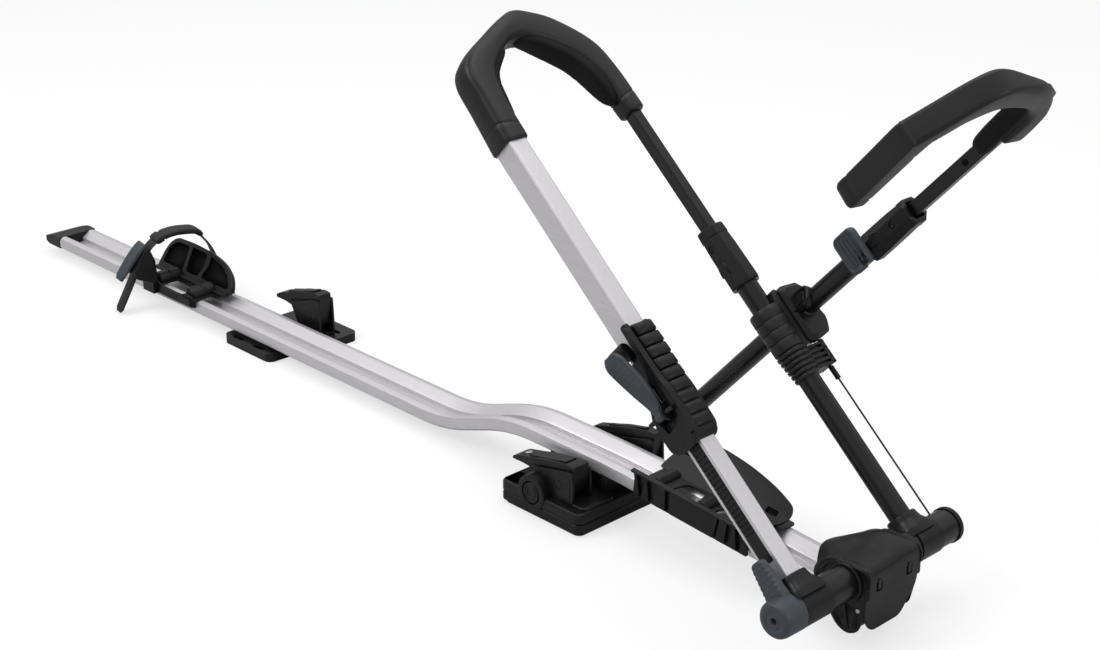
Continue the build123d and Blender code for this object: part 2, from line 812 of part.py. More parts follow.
with BuildPart() as wire:
    with BuildSketch(leg_section(cross_tube_radius, wire_side)):
        Circle(wire_radius)
    extrude(amount=wire_top - cross_tube_radius)
leave(wire, "wire")

# Hook hub: turns on a pin in the collar and holds the hook tube
hub_near = black_side + boot_radius + seat_gap
with BuildPart() as hook_hub:
    with BuildSketch(leg_side(hub_near)):
        with Locations((hook_reach, 0)):
            RectangleRounded(hub_length, hub_depth, hub_corner)
    extrude(amount=hub_width)
    chamfer(hook_hub.faces().sort_by(Axis.Y)[-1].edges(), hub_corner / 2)
    with BuildSketch(hook_section(0, hook_side)):
        Circle(hook_tube_radius + socket_wall)
    extrude(amount=hub_depth / 2 + socket_height)
    with BuildSketch(hook_section(-hub_length, hook_side)):
        Circle(hook_tube_radius)
    extrude(amount=2 * hub_length, mode=Mode.SUBTRACT)
    with BuildSketch(leg_side(hub_near)):
        with Locations((hook_reach, 0)):
            Circle(pin_radius + running_gap)
    extrude(amount=hook_side - hook_tube_radius - hub_near, mode=Mode.SUBTRACT)
leave(hook_hub, "hook_hub")

with BuildPart() as hook_pin:
    with BuildSketch(leg_side(black_side + leg_tube_radius)):
        with Locations((hook_reach, 0)):
            Circle(pin_radius)
    extrude(amount=hook_side - hook_tube_radius - black_side - leg_tube_radius - seat_gap)
leave(hook_pin, "hook_pin")

with BuildPart() as hook_tube:
    with BuildSketch(hook_section(hook_tube_start, hook_side)):
        Circle(hook_tube_radius)
        Circle(hook_tube_radius - hook_tube_wall, mode=Mode.SUBTRACT)
    extrude(amount=hook_tube_end - hook_tube_start)
leave(hook_tube, "hook_tube")

with BuildPart() as hook_tube_cap:
    with BuildSketch(hook_section(hook_tube_start - cross_cap_depth, hook_side)):
        Circle(hook_tube_radius)
    extrude(amount=cross_cap_depth)
    chamfer(hook_tube_cap.edges().filter_by(GeomType.CIRCLE).sort_by(Axis.Z)[0], cross_cap_rim)
leave(hook_tube_cap, "hook_tube_cap")

# Hook socket: clamps the rod and carries the lock lever on a lug
lock_hinge_y = hook_side - hook_socket_width / 2 - lock_lever_thickness / 2 - seat_gap
lock_point = hook_pivot + along_hook * lock_lever_start + across * lock_hinge_y + over_hook * -lock_hinge_drop
lock_plane = Plane(origin=lock_point, x_dir=across, z_dir=along_hook)
lock_pin_radius = pin_radius * 3 / 4
lug_start = hook_socket_start - lock_lever_start
with BuildPart() as hook_socket:
    with BuildSketch(hook_section(hook_socket_start, hook_side)):
        RectangleRounded(hook_socket_width, hook_socket_depth, leg_socket_corner)
    with BuildSketch(hook_section(hook_socket_end, hook_side)):
        RectangleRounded(leg_socket_top_width, leg_socket_top_depth, leg_socket_corner)
    loft()
    with BuildSketch(lock_plane.offset(lug_start)):
        Circle(lock_lever_thickness / 2)
        with Locations((lock_lever_thickness / 2, 0)):
            Rectangle(lock_lever_thickness, lock_lever_thickness / 2)
    extrude(amount=lock_lug)
    with BuildSketch(lock_plane):
        Circle(lock_pin_radius)
    extrude(amount=lock_lever_width)
    with BuildSketch(hook_section(hook_socket_start - overrun, hook_side)):
        Circle(hook_tube_radius)
    extrude(amount=hook_tube_end - hook_socket_start + overrun, mode=Mode.SUBTRACT)
    with BuildSketch(hook_section(hook_tube_end - overrun, hook_side)):
        Rectangle(hook_rod_width + 2 * seat_gap, hook_rod_depth + 2 * seat_gap)
    extrude(amount=hook_socket_end, mode=Mode.SUBTRACT)
leave(hook_socket, "hook_socket")

with BuildPart() as hook_lock_lever:
    with BuildSketch(lock_plane):
        with Locations((-seat_gap, lock_lever_length / 2)):
            RectangleRounded(
                lock_lever_thickness - 2 * seat_gap, lock_lever_length, lock_lever_thickness / 3
            )
        Circle(lock_lever_thickness / 2)
        Circle(lock_pin_radius + running_gap, mode=Mode.SUBTRACT)
    extrude(amount=lock_lever_width)
    with BuildSketch(lock_plane.offset(lug_start - seat_gap)):
        Rectangle(2 * lock_lever_thickness, 3 / 2 * lock_lever_thickness)
    extrude(amount=lock_lug + 2 * seat_gap, mode=Mode.SUBTRACT)
leave(hook_lock_lever, "hook_lock_lever")

# Hook rod with its bent end, and the pad over it
hook_outer_shares = [
    (0.424, -0.056), (0.727, -0.025), (0.904, 0.141), (1, 0.444), (0.96, 0.687), (0.596, 1), (0, 0.985)
]
hook_inner_shares = [
    (0, 0.853), (0.586, 0.869), (0.778, 0.646), (0.808, 0.384), (0.717, 0.182), (0.636, 0.121), (0.424, 0.111)
]
hook_core_shares = [(0.8, 0.02), (0.9, 0.343), (0.889, 0.606), (0.616, 0.934), (0.106, 0.919)]
hook_rod_end = hook_tail_start + hook_rod_hold
pad_turn = radians(hook_pad_tilt)
pad_plane = Plane(
    origin=hook_pivot + across * hook_side + over_hook * -hook_pad_drop,
    x_dir=along_hook,
    z_dir=over_hook * cos(pad_turn) + across * sin(pad_turn),
)


def hook_point(share):
    reach = hook_tail_start + share[0] * hook_pad_length
    return (reach, share[1] * (hook_tail_side - hook_side))


with BuildPart() as hook_rod:
    with BuildSketch(hook_section(hook_rod_start, hook_side)):
        RectangleRounded(hook_rod_width, hook_rod_depth, rod_corner)
    extrude(amount=hook_rod_end - hook_rod_start)
    with BuildSketch(pad_plane):
        with BuildLine():
            hook_line = FilletPolyline(
                (hook_rod_end - seat_gap, 0),
                *[hook_point(share) for share in hook_core_shares],
                radius=hook_core_width,
            )
        trace(hook_line, line_width=hook_core_width)
    extrude(amount=hook_core_width / 2, both=True)
leave(hook_rod, "hook_rod")

hook_outer = [hook_point(share) for share in hook_outer_shares]
hook_inner = [hook_point(share) for share in hook_inner_shares]
with BuildPart() as hook_liner:
    with BuildSketch(pad_plane):
        with BuildLine():
            hook_liner_line = Polyline(*hook_inner[:-1])
        trace(hook_liner_line, line_width=liner_thickness)
    extrude(amount=liner_depth / 2, both=True)
leave(hook_liner, "hook_liner")

with BuildPart() as hook_pad:
    with BuildSketch(pad_plane):
        with BuildLine():
            Polyline(*hook_outer, *hook_inner, close=True)
        make_face()
    extrude(amount=hook_pad_depth / 2, both=True)
    add(hook_rod.part, mode=Mode.SUBTRACT)
    add(hook_liner.part, mode=Mode.SUBTRACT)
leave(hook_pad, "hook_pad")

# Release lever: a knob with a spigot in the cross tube and a lever up its side
knob_plane = Plane(origin=pivot + across * (cross_tube_left - seat_gap), x_dir=up_leg, z_dir=across)
with BuildPart() as release_lever:
    with BuildSketch(knob_plane):
        Circle(knob_radius)
    extrude(amount=-knob_depth)
    with BuildSketch(knob_plane):
        with BuildLine():
            Polyline(
                (0, -knob_lever_root / 2),
                (0, knob_lever_root / 2),
                (knob_lever_length, knob_lever_tip / 2),
                (knob_lever_length, -knob_lever_tip / 2),
                close=True,
            )
        make_face()
    extrude(amount=-knob_lever_thickness)
    with BuildSketch(knob_plane.offset(-knob_depth)):
        Circle(knob_radius * 3 / 4)
        Circle(knob_radius / 2, mode=Mode.SUBTRACT)
    extrude(amount=cross_cap_rim, mode=Mode.SUBTRACT)
    with BuildSketch(knob_plane):
        Circle(cross_tube_radius - cross_tube_wall - running_gap)
    extrude(amount=socket_foot)
leave(release_lever, "release_lever")

# Front foot: rubber sole, base and cover with an arch over the knob
foot_split = foot_height / 2
foot_middle = (foot_far - foot_near) / 2
with BuildPart() as foot_sole:
    with BuildSketch(Plane.XY):
        with Locations((0, foot_middle)):
            RectangleRounded(foot_length - 2 * clamp_cheek, foot_near + foot_far - 2 * clamp_cheek, foot_corner)
    extrude(amount=clamp_plate)
leave(foot_sole, "foot_sole")

with BuildPart() as foot_base:
    with BuildSketch(Plane.XY.offset(clamp_plate)):
        with Locations((0, foot_middle)):
            RectangleRounded(foot_length, foot_near + foot_far, foot_corner)
    extrude(amount=foot_split - clamp_plate)
leave(foot_base, "foot_base")

with BuildPart() as foot_cover:
    with BuildSketch(Plane.XY.offset(foot_split)):
        with Locations((0, foot_middle)):
            RectangleRounded(foot_length, foot_near + foot_far, foot_corner)
    extrude(amount=foot_height - foot_split)
    with BuildSketch(Plane.XZ.offset(foot_near)):
        with Locations((foot_knob_x, foot_knob_z)):
            Circle(foot_bump_radius)
        with Locations((foot_knob_x, foot_split - foot_bump_radius)):
            Rectangle(2 * foot_bump_radius, 2 * foot_bump_radius, mode=Mode.SUBTRACT)
    extrude(amount=-(near_clamp_y - near_clamp_width / 2 + foot_near - seat_gap))
    with BuildSketch(Plane.XZ.offset(foot_near + overrun)):
        with Locations((foot_knob_x, foot_knob_z)):
            Circle(foot_knob_radius + seat_gap)
    extrude(amount=-foot_knob_depth - overrun, mode=Mode.SUBTRACT)
    with BuildSketch(Plane.XZ.offset(foot_near)):
        with Locations((foot_knob_x, foot_knob_z)):
            Circle(pin_radius + running_gap)
    extrude(amount=foot_bump_radius - foot_near, mode=Mode.SUBTRACT)
    with BuildSketch(Plane.XY.offset(foot_height)):
        with Locations(
            (pocket_wall + pocket_length / 2 - foot_length / 2, pocket_wall + pocket_width / 2 - foot_near)
        ):
            RectangleRounded(pocket_length, pocket_width, foot_corner / 2)
    extrude(amount=-pocket_depth, mode=Mode.SUBTRACT)
leave(foot_cover, "foot_cover")

with BuildPart() as foot_knob:
    with BuildSketch(Plane.XZ.offset(foot_near)):
        with Locations((foot_knob_x, foot_knob_z)):
            Circle(foot_knob_radius)
    extrude(amount=-foot_knob_depth + seat_gap)
    with BuildSketch(Plane.XZ.offset(foot_near)):
        with Locations((foot_knob_x, foot_knob_z)):
            Circle(foot_knob_radius * 3 / 4)
            Circle(foot_knob_radius / 2, mode=Mode.SUBTRACT)
    extrude(amount=-cross_cap_rim, mode=Mode.SUBTRACT)
    with BuildSketch(Plane.XZ.offset(foot_near - foot_knob_depth / 2)):
        with Locations((foot_knob_x, foot_knob_z)):
            Circle(pin_radius)
    extrude(amount=-foot_knob_depth)
leave(foot_knob, "foot_knob")

with BuildPart() as foot_saddle:
    with BuildSketch(Plane.XY.offset(foot_height)):
        RectangleRounded(saddle_length, 2 * saddle_half_width, foot_corner)
    extrude(amount=crest_z - foot_height)
    add(rail_space.part, mode=Mode.SUBTRACT)
leave(foot_saddle, "foot_saddle")

# Rear foot plate: raised under the rail, slotted for the bar's bolts
plate_middle = (plate_far - plate_near) / 2
riser_top = rear_deck_z - half_height
tail_length = plate_length / 2 + plate_tail
tail_middle_x = plate_center_x + tail_length / 2
far_slot_x = plate_center_x + plate_tail / 2
with BuildPart() as rear_plate:
    with BuildSketch(Plane.XY):
        with Locations((plate_center_x, plate_middle)):
            RectangleRounded(plate_length, plate_near + plate_far, plate_corner)
        with Locations((tail_middle_x, (plate_far + plate_tail_side) / 2)):
            RectangleRounded(tail_length, plate_far - plate_tail_side, plate_corner)
    extrude(amount=plate_height)
    with BuildSketch(Plane.XY.offset(plate_height)):
        with Locations((plate_center_x, 0)):
            RectangleRounded(plate_length - 2 * plate_corner, 2 * riser_half_width, plate_corner)
    extrude(amount=riser_top - plate_height)
    with BuildSketch(Plane.XY):
        with Locations((far_slot_x, far_slot_side)):
            with GridLocations(far_slot_spacing, far_slot_spacing, 2, 1):
                SlotOverall(slot_length, slot_width)
        with Locations((near_slot_x, -near_slot_side)):
            with GridLocations(near_slot_spacing, near_slot_spacing, 2, 1):
                SlotOverall(slot_length, slot_width)
    extrude(amount=riser_top, mode=Mode.SUBTRACT)
leave(rear_plate, "rear_plate")

# Clamps: each a pair of cheeks with a pin across them and a wedge-nosed lever
hinge_share = (0.79, 0.45)
clamp_lever_shares = [
    (0, 0.5), (0.05, 0.62), (0.25, 0.72), (0.93, 1), (1, 0.93), (1, 0.62), (0.86, 0.33), (0.72, 0.33),
    (0.55, 0.55), (0.15, 0.52),
]
cheek_shares = [(0.58, 0), (1, 0), (1, 0.5), (0.88, 0.72), (0.7, 0.72), (0.58, 0.4)]
clamps = [
    ("near", near_clamp_x, near_clamp_y, near_clamp_width, near_clamp_height, foot_height),
    ("far", far_clamp_x, far_clamp_y, far_clamp_width, far_clamp_height, foot_height),
    ("rear", rear_clamp_x, rear_clamp_y, rear_clamp_width, rear_clamp_height, plate_height),
]
for clamp, middle_x, middle_y, width, height, foot in clamps:
    clamp_plane = Plane(
        origin=(middle_x - clamp_length / 2, middle_y, foot), x_dir=(1, 0, 0), z_dir=(0, -1, 0)
    )
    hinge = (hinge_share[0] * clamp_length, hinge_share[1] * height)
    with BuildPart() as clamp_yoke:
        with BuildSketch(clamp_plane):
            with BuildLine():
                Polyline(*[(x * clamp_length, z * height) for x, z in cheek_shares], close=True)
            make_face()
        extrude(amount=width / 2, both=True)
        with BuildSketch(clamp_plane):
            with Locations((hinge[0], clamp_plate + height)):
                Rectangle(clamp_length, 2 * height)
        extrude(amount=width / 2 - clamp_cheek, both=True, mode=Mode.SUBTRACT)
        with BuildSketch(clamp_plane):
            with Locations(hinge):
                Circle(pin_radius)
        extrude(amount=width / 2, both=True)
    leave(clamp_yoke, f"{clamp}_clamp_yoke")

    with BuildPart() as clamp_lever:
        with BuildSketch(clamp_plane):
            with BuildLine():
                Polyline(*[(x * clamp_length, z * height) for x, z in clamp_lever_shares], close=True)
            make_face()
            with Locations(hinge):
                Circle(pin_radius + running_gap, mode=Mode.SUBTRACT)
        extrude(amount=width / 2 - clamp_cheek - seat_gap, both=True)
    leave(clamp_lever, f"{clamp}_clamp_lever")

# Front wheel tray: plate over the rail, near flap with a top bar, far wing and bushes
tray_plane = Plane(
    origin=(tray_x, 0, rail_height_at(tray_x) + half_height),
    x_dir=(rail_front_x - crest_x, 0, nose_z - crest_z),
    z_dir=(crest_z - nose_z, 0, rail_front_x - crest_x),
)
tray_sides = Plane(origin=tray_plane.origin, x_dir=tray_plane.x_dir, z_dir=(0, -1, 0))
flap_end_plane = Plane(
    origin=tray_plane.origin + tray_plane.z_dir * (flap_height / 2) - tray_plane.x_dir * (tray_length / 2),
    x_dir=tray_plane.y_dir,
    z_dir=tray_plane.x_dir,
)
tray_bush_shares = (-0.36, 0, 0.36)
with BuildPart() as tray_base:
    with BuildSketch(tray_plane):
        Rectangle(tray_length - 2 * tray_bush_radius, 2 * tray_half_width)
    extrude(amount=tray_plate)
    for share in tray_bush_shares:
        with BuildSketch(tray_sides.offset(-lip_y - tray_bush_length / 2)):
            with Locations((share * tray_length, tray_plate)):
                Circle(tray_bush_radius)
        extrude(amount=tray_bush_length)
    with BuildSketch(tray_plane.offset(-tray_plate)):
        with GridLocations(tray_length / 3, 0, 2, 1):
            Rectangle(tray_length / 6, tray_half_width)
    extrude(amount=tray_bush_radius + 2 * tray_plate, mode=Mode.SUBTRACT)
    add(rail_space.part, mode=Mode.SUBTRACT)
leave(tray_base, "tray_base")

with BuildPart() as tray_flap:
    with BuildSketch(tray_sides.offset(tray_half_width)):
        with BuildLine():
            Polyline(
                (-tray_length / 2, flap_height / 2),
                (tray_length / 2, flap_height / 2),
                (tray_length / 2 - flap_height / 2, -flap_height / 2),
                (flap_height / 2 - tray_length / 2, -flap_height / 2),
                close=True,
            )
        make_face()
    extrude(amount=flap_thickness)
    with BuildSketch(flap_end_plane):
        with Locations((-tray_half_width - flap_thickness / 2, 0)):
            Circle(flap_bar_radius)
    extrude(amount=tray_length)
leave(tray_flap, "tray_flap")

wing_foot = tray_plane.origin + tray_plane.z_dir * (tray_plate + seat_gap) + across * lip_y
wing_up = across * sin(radians(90 - wing_lean)) + tray_plane.z_dir * cos(radians(90 - wing_lean))
wing_plane = Plane(origin=wing_foot, x_dir=tray_plane.x_dir, z_dir=tray_plane.x_dir.cross(wing_up))
wing_shares = [
    (-0.5, 0), (-0.42, 0.86), (-0.36, 1), (0.05, 1), (0.42, 0.72), (0.48, 0.5), (0.46, 0.2), (0.4, 0),
]
with BuildPart() as tray_wing:
    with BuildSketch(wing_plane):
        with BuildLine():
            Polyline(*[(x * tray_length, y * wing_height) for x, y in wing_shares], close=True)
        make_face()
    extrude(amount=wing_thickness)
    add(tray_base.part, mode=Mode.SUBTRACT)
leave(tray_wing, "tray_wing")

# Rear wheel tray: a saddle that slides on the rail, with a plain side plate and a leaning wing
saddle_half = half_width + seat_gap + tray_plate
saddle_top = rear_deck_z + half_height + seat_gap + tray_plate
saddle_floor = rear_deck_z
strap_root = Vector(rear_tray_x - strap_skew, -saddle_half - buckle_stand, 0)
strap_plane = Plane(
    origin=strap_root, x_dir=(cos(radians(strap_turn)), sin(radians(strap_turn)), 0),
    z_dir=(sin(radians(strap_turn)), -cos(radians(strap_turn)), 0),
)
strap_shares = [
    (-0.46, 0.03), (-0.18, 0.56), (0.04, 0.89), (0.34, 1.0), (0.68, 0.96), (0.88, 0.69), (1.0, 0.26),
]
pad_shares = [(0.06, 0.905), (0.34, 1.0), (0.64, 0.965)]


def strap_point(share):
    return (share[0] * strap_span, share[1] * strap_peak)


with BuildPart() as strap:
    with BuildSketch(strap_plane):
        with BuildLine():
            strap_line = FilletPolyline(*[strap_point(share) for share in strap_shares], radius=strap_bend)
        trace(strap_line, line_width=strap_thickness)
    extrude(amount=strap_width / 2, both=True)
leave(strap, "strap")

with BuildPart() as strap_pad:
    with BuildSketch(strap_plane):
        with BuildLine():
            pad_line = FilletPolyline(*[strap_point(share) for share in pad_shares], radius=strap_bend)
        trace(pad_line, line_width=strap_pad_thickness)
    extrude(amount=strap_width / 2 + strap_thickness, both=True)
    add(strap.part, mode=Mode.SUBTRACT)
leave(strap_pad, "strap_pad")

with BuildPart() as rear_tray_saddle:
    with BuildSketch(Plane.YZ.offset(rear_tray_x - rear_tray_length / 2)):
        with Locations((0, (saddle_top + saddle_floor) / 2)):
            Rectangle(2 * saddle_half, saddle_top - saddle_floor)
        with Locations((0, (saddle_top + saddle_floor) / 2 - tray_plate)):
            Rectangle(2 * half_width + 2 * seat_gap, saddle_top - saddle_floor, mode=Mode.SUBTRACT)
    extrude(amount=rear_tray_length)
    for share in tray_bush_shares[::2]:
        with BuildSketch(Plane.XZ.offset(-lip_y - tray_bush_length / 2)):
            with Locations((rear_tray_x + share * rear_tray_length, saddle_top)):
                Circle(tray_bush_radius)
        extrude(amount=tray_bush_length)
    with BuildSketch(Plane.XY.offset(saddle_top - tray_plate)):
        with Locations((rear_tray_x, lip_y)):
            RectangleRounded(rear_tray_length * 3 / 7, tray_half_width, rail_corner)
    extrude(amount=2 * tray_plate, mode=Mode.SUBTRACT)
    anchor = strap_plane.from_local_coords(Vector(*strap_point(strap_shares[-1]), 0))
    with BuildSketch(Plane.XY.offset(saddle_floor)):
        with Locations((anchor.X, (saddle_half + anchor.Y + strap_thickness) / 2)):
            Rectangle(strap_width + 4 * tray_plate, anchor.Y + 2 * strap_thickness - saddle_half)
    extrude(amount=anchor.Z + tray_plate - saddle_floor)
    add(rail_bore.part, mode=Mode.SUBTRACT)
    add(strap.part, mode=Mode.SUBTRACT)
leave(rear_tray_saddle, "rear_tray_saddle")

with BuildPart() as rear_side_plate:
    with BuildSketch(Plane.XZ.offset(saddle_half)):
        with Locations((rear_tray_x, saddle_floor + rear_side_height / 2)):
            RectangleRounded(rear_tray_length, rear_side_height, rail_corner)
    extrude(amount=tray_plate)
leave(rear_side_plate, "rear_side_plate")

rear_wing_foot = Vector(rear_tray_x, lip_y, saddle_top + seat_gap)
rear_wing_up = Vector(0, sin(radians(wing_lean)), cos(radians(wing_lean)))
rear_wing_plane = Plane(origin=rear_wing_foot, x_dir=(1, 0, 0), z_dir=Vector(1, 0, 0).cross(rear_wing_up))
rear_wing_shares = [(-0.5, 0), (-0.47, 0.5), (-0.4, 0.9), (-0.3, 1), (0.2, 1), (0.42, 0.5), (0.46, 0.2), (0.4, 0)]
rear_window_shares = (-0.25, 0, 0.22)
with BuildPart() as rear_wing:
    with BuildSketch(rear_wing_plane):
        with BuildLine():
            Polyline(*[(x * rear_wing_length, y * rear_wing_height) for x, y in rear_wing_shares], close=True)
        make_face()
        for share in rear_window_shares:
            with Locations((share * rear_wing_length, rear_wing_height * 4 / 7)):
                RectangleRounded(
                    rear_wing_length / 6, rear_wing_height * 4 / 9, rail_corner, mode=Mode.SUBTRACT
                )
    extrude(amount=wing_thickness)
    with BuildSketch(Plane.XY.offset(saddle_top)):
        with Locations((rear_tray_x, lip_y)):
            Rectangle(rear_tray_length, 2 * wing_thickness)
    extrude(amount=wing_thickness)
    add(rear_tray_saddle.part, mode=Mode.SUBTRACT)
leave(rear_wing, "rear_wing")

# Buckle: a frame round the strap with a pin across it, and a lever on the pin
buckle_shares = [
    (-0.03, 0.44), (0.08, 0.4), (0.08, 0.79), (0, 0.89), (-0.1, 0.85), (-0.24, 0.56), (-0.14, 0.42),
]
buckle_hinge_share = (-0.1, 0.87)
buckle_tip_share = (-0.4, 0.5)
buckle_hinge = strap_point(buckle_hinge_share)
buckle_tip = strap_point(buckle_tip_share)
with BuildPart() as buckle_body:
    with BuildSketch(strap_plane):
        with BuildLine():
            Polyline(*[strap_point(share) for share in buckle_shares], close=True)
        make_face()
        with Locations(buckle_hinge):
            Circle(buckle_knuckle)
    extrude(amount=buckle_width / 2, both=True)
    with BuildSketch(strap_plane):
        with Locations(buckle_hinge):
            Circle(buckle_knuckle + seat_gap)
        with BuildLine():
            Polyline(
                (buckle_hinge[0], buckle_hinge[1] + buckle_knuckle),
                (buckle_tip[0], buckle_tip[1] + buckle_knuckle),
                (buckle_tip[0], buckle_tip[1] - buckle_knuckle),
                (buckle_hinge[0], buckle_hinge[1] - buckle_knuckle - seat_gap),
                close=True,
            )
        make_face()
    extrude(amount=strap_width / 2 + seat_gap, both=True, mode=Mode.SUBTRACT)
    with BuildSketch(strap_plane):
        with Locations(buckle_hinge):
            Circle(lock_pin_radius)
    extrude(amount=buckle_width / 2, both=True)
    add(strap.part, mode=Mode.SUBTRACT)
    add(rear_side_plate.part, mode=Mode.SUBTRACT)
leave(buckle_body, "buckle_body")

with BuildPart() as buckle_lever:
    with BuildSketch(strap_plane):
        with Locations(buckle_hinge):
            Circle(buckle_knuckle)
        with BuildLine():
            Polyline(
                (buckle_hinge[0], buckle_hinge[1] + buckle_knuckle),
                (buckle_tip[0], buckle_tip[1] + buckle_knuckle / 2),
                (buckle_tip[0], buckle_tip[1] - buckle_knuckle / 2),
                (buckle_hinge[0], buckle_hinge[1] - buckle_knuckle),
                close=True,
            )
        make_face()
        with Locations(buckle_hinge):
            Circle(lock_pin_radius + running_gap, mode=Mode.SUBTRACT)
    extrude(amount=strap_width / 2, both=True)
leave(buckle_lever, "buckle_lever")

with BuildPart() as buckle_stand_block:
    with BuildSketch(Plane.XY.offset(saddle_floor)):
        with Locations((strap_root.X, -saddle_half - tray_plate - buckle_stand / 2)):
            Rectangle(buckle_width, buckle_stand)
    extrude(amount=rear_side_height)
    add(strap.part, mode=Mode.SUBTRACT)
    add(buckle_body.part, mode=Mode.SUBTRACT)
leave(buckle_stand_block, "buckle_stand")
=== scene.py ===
import bpy, bmesh
from math import atan2, cos, pi, radians, sin
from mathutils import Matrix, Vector


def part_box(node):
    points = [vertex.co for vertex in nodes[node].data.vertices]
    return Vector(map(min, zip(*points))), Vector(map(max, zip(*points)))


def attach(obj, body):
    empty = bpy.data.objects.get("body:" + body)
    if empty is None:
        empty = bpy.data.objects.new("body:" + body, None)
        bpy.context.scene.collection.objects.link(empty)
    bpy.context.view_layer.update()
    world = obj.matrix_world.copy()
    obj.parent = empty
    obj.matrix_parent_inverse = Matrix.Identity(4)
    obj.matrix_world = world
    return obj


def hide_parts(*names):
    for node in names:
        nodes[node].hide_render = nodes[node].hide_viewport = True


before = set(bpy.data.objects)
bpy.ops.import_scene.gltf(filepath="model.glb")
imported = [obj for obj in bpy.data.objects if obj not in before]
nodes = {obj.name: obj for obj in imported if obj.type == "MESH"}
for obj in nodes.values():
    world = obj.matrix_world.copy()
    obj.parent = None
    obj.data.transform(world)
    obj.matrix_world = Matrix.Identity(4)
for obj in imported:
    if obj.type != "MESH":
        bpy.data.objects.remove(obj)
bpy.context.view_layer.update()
scene = bpy.context.scene
print("frame loaded", len(nodes))

# Axes of the object: the hoop's leg, the hook arm, the rail's sloping front part and the strap.
# Placers take millimetres from these axes and give metres in the shared frame
legAngle = radians(41.7)
hookAngle = radians(47.6)
pivot = Vector((0.458, 0, 0.080))
upLeg = Vector((-cos(legAngle), 0, sin(legAngle)))
offLeg = Vector((sin(legAngle), 0, cos(legAngle)))
alongHook = Vector((cos(hookAngle), 0, sin(hookAngle)))
overHook = Vector((-sin(hookAngle), 0, cos(hookAngle)))
hookPivot = pivot + upLeg * 0.312
railSlope = {"start": 70, "level": 72.0, "drop": 28.3, "run": 370}
trayTilt = atan2(railSlope["drop"], railSlope["run"])
alongTray = Vector((cos(trayTilt), 0, -sin(trayTilt)))
overTray = Vector((sin(trayTilt), 0, cos(trayTilt)))
trayMiddle, trayAbove = 217, 10.0
silverLegSide, blackLegSide, hookSide = -122, 87, 128   # how far to the side they stand
strapTurn = radians(80)
strapRun = Vector((cos(strapTurn), sin(strapTurn), 0))
strapSide = Vector((sin(strapTurn), -cos(strapTurn), 0))
strapRoot = Vector((-0.983, -0.0478, 0))


def railLevel(x):
    return railSlope["level"] - railSlope["drop"] * (x - railSlope["start"]) / railSlope["run"]


trayOrigin = Vector((trayMiddle / 1000, 0, (railLevel(trayMiddle) + trayAbove) / 1000))


def legAt(u, y, n=0.0):
    return pivot + upLeg * (u / 1000) + offLeg * (n / 1000) + Vector((0, y / 1000, 0))


def hookAt(s, y, w=0.0):
    return hookPivot + alongHook * (s / 1000) + overHook * (w / 1000) + Vector((0, y / 1000, 0))


def trayAt(x, y, z=0.0):
    return trayOrigin + alongTray * (x / 1000) + overTray * (z / 1000) + Vector((0, y / 1000, 0))


def frameAt(x, y, z):
    return Vector((x, y, z)) / 1000


def strapAt(d, side, z):
    return strapRoot + strapRun * (d / 1000) + strapSide * (side / 1000) + Vector((0, 0, z / 1000))


# From the cross tube's axis: forwards, up and sideways
def tubeAt(x, z, y):
    return Vector((pivot.x + x / 1000, y / 1000, pivot.z + z / 1000))


# The same placers for an outline drawn along and up, or across and up, and for a turned piece
def sideways(at):
    return lambda along, up, across: at(along, across, up)


def endways(at):
    return lambda across, up, along: at(along, across, up)


def turned(at, middle):
    return lambda x, y, along: at(along, middle + y, x)


# Shared mesh helpers
def newPiece(name, vertices, faces):
    mesh = bpy.data.meshes.new(name)
    mesh.from_pydata([tuple(v) for v in vertices], [], faces)
    bm = bmesh.new()
    bm.from_mesh(mesh)
    bmesh.ops.remove_doubles(bm, verts=bm.verts, dist=1e-6)
    bmesh.ops.recalc_face_normals(bm, faces=bm.faces)
    bm.to_mesh(mesh)
    bm.free()
    piece = bpy.data.objects.new(name, mesh)
    scene.collection.objects.link(piece)
    for face in mesh.polygons:
        face.use_smooth = True
    return piece


# Joins rings of points, each with as many points as the last
def loft(name, rings):
    size = len(rings[0])
    vertices = [p for ring in rings for p in ring]
    faces = []
    for i in range(len(rings) - 1):
        a, b = i * size, (i + 1) * size
        for j in range(size):
            k = (j + 1) % size
            faces.append((a + j, a + k, b + k, b + j))
    faces.append(tuple(range(size - 1, -1, -1)))
    faces.append(tuple(range((len(rings) - 1) * size, len(rings) * size)))
    return newPiece(name, vertices, faces)


# A solid between two copies of an outline; at(x, y, depth) places it
def prism(name, outline, at, low, high):
    return loft(name, [[at(x, y, depth) for x, y in outline] for depth in (low, high)])


def soften(piece, width, segments=3, angle=28):
    weld = piece.modifiers.new("weld", "WELD")
    weld.merge_threshold = 0.00002
    bevel = piece.modifiers.new("soften", "BEVEL")
    bevel.width = width / 1000
    bevel.segments = segments
    bevel.limit_method = "ANGLE"
    bevel.angle_limit = radians(angle)
    bevel.use_clamp_overlap = True
    bevel.miter_outer = "MITER_ARC"
    normals = piece.modifiers.new("even normals", "WEIGHTED_NORMAL")
    normals.keep_sharp = True
    for face in piece.data.polygons:
        face.use_smooth = True
    return piece


# Applies the piece's modifiers to its mesh
def settle(piece):
    mesh = bpy.data.meshes.new_from_object(piece.evaluated_get(bpy.context.evaluated_depsgraph_get()))
    piece.modifiers.clear()
    piece.data = mesh
    return piece


def carve(piece, *tools):
    for tool in tools:
        modifier = piece.modifiers.new("carve", "BOOLEAN")
        modifier.operation = "DIFFERENCE"
        modifier.solver = "EXACT"
        modifier.object = tool
        bpy.context.view_layer.update()
        settle(piece)
        bpy.data.objects.remove(tool)
    return piece


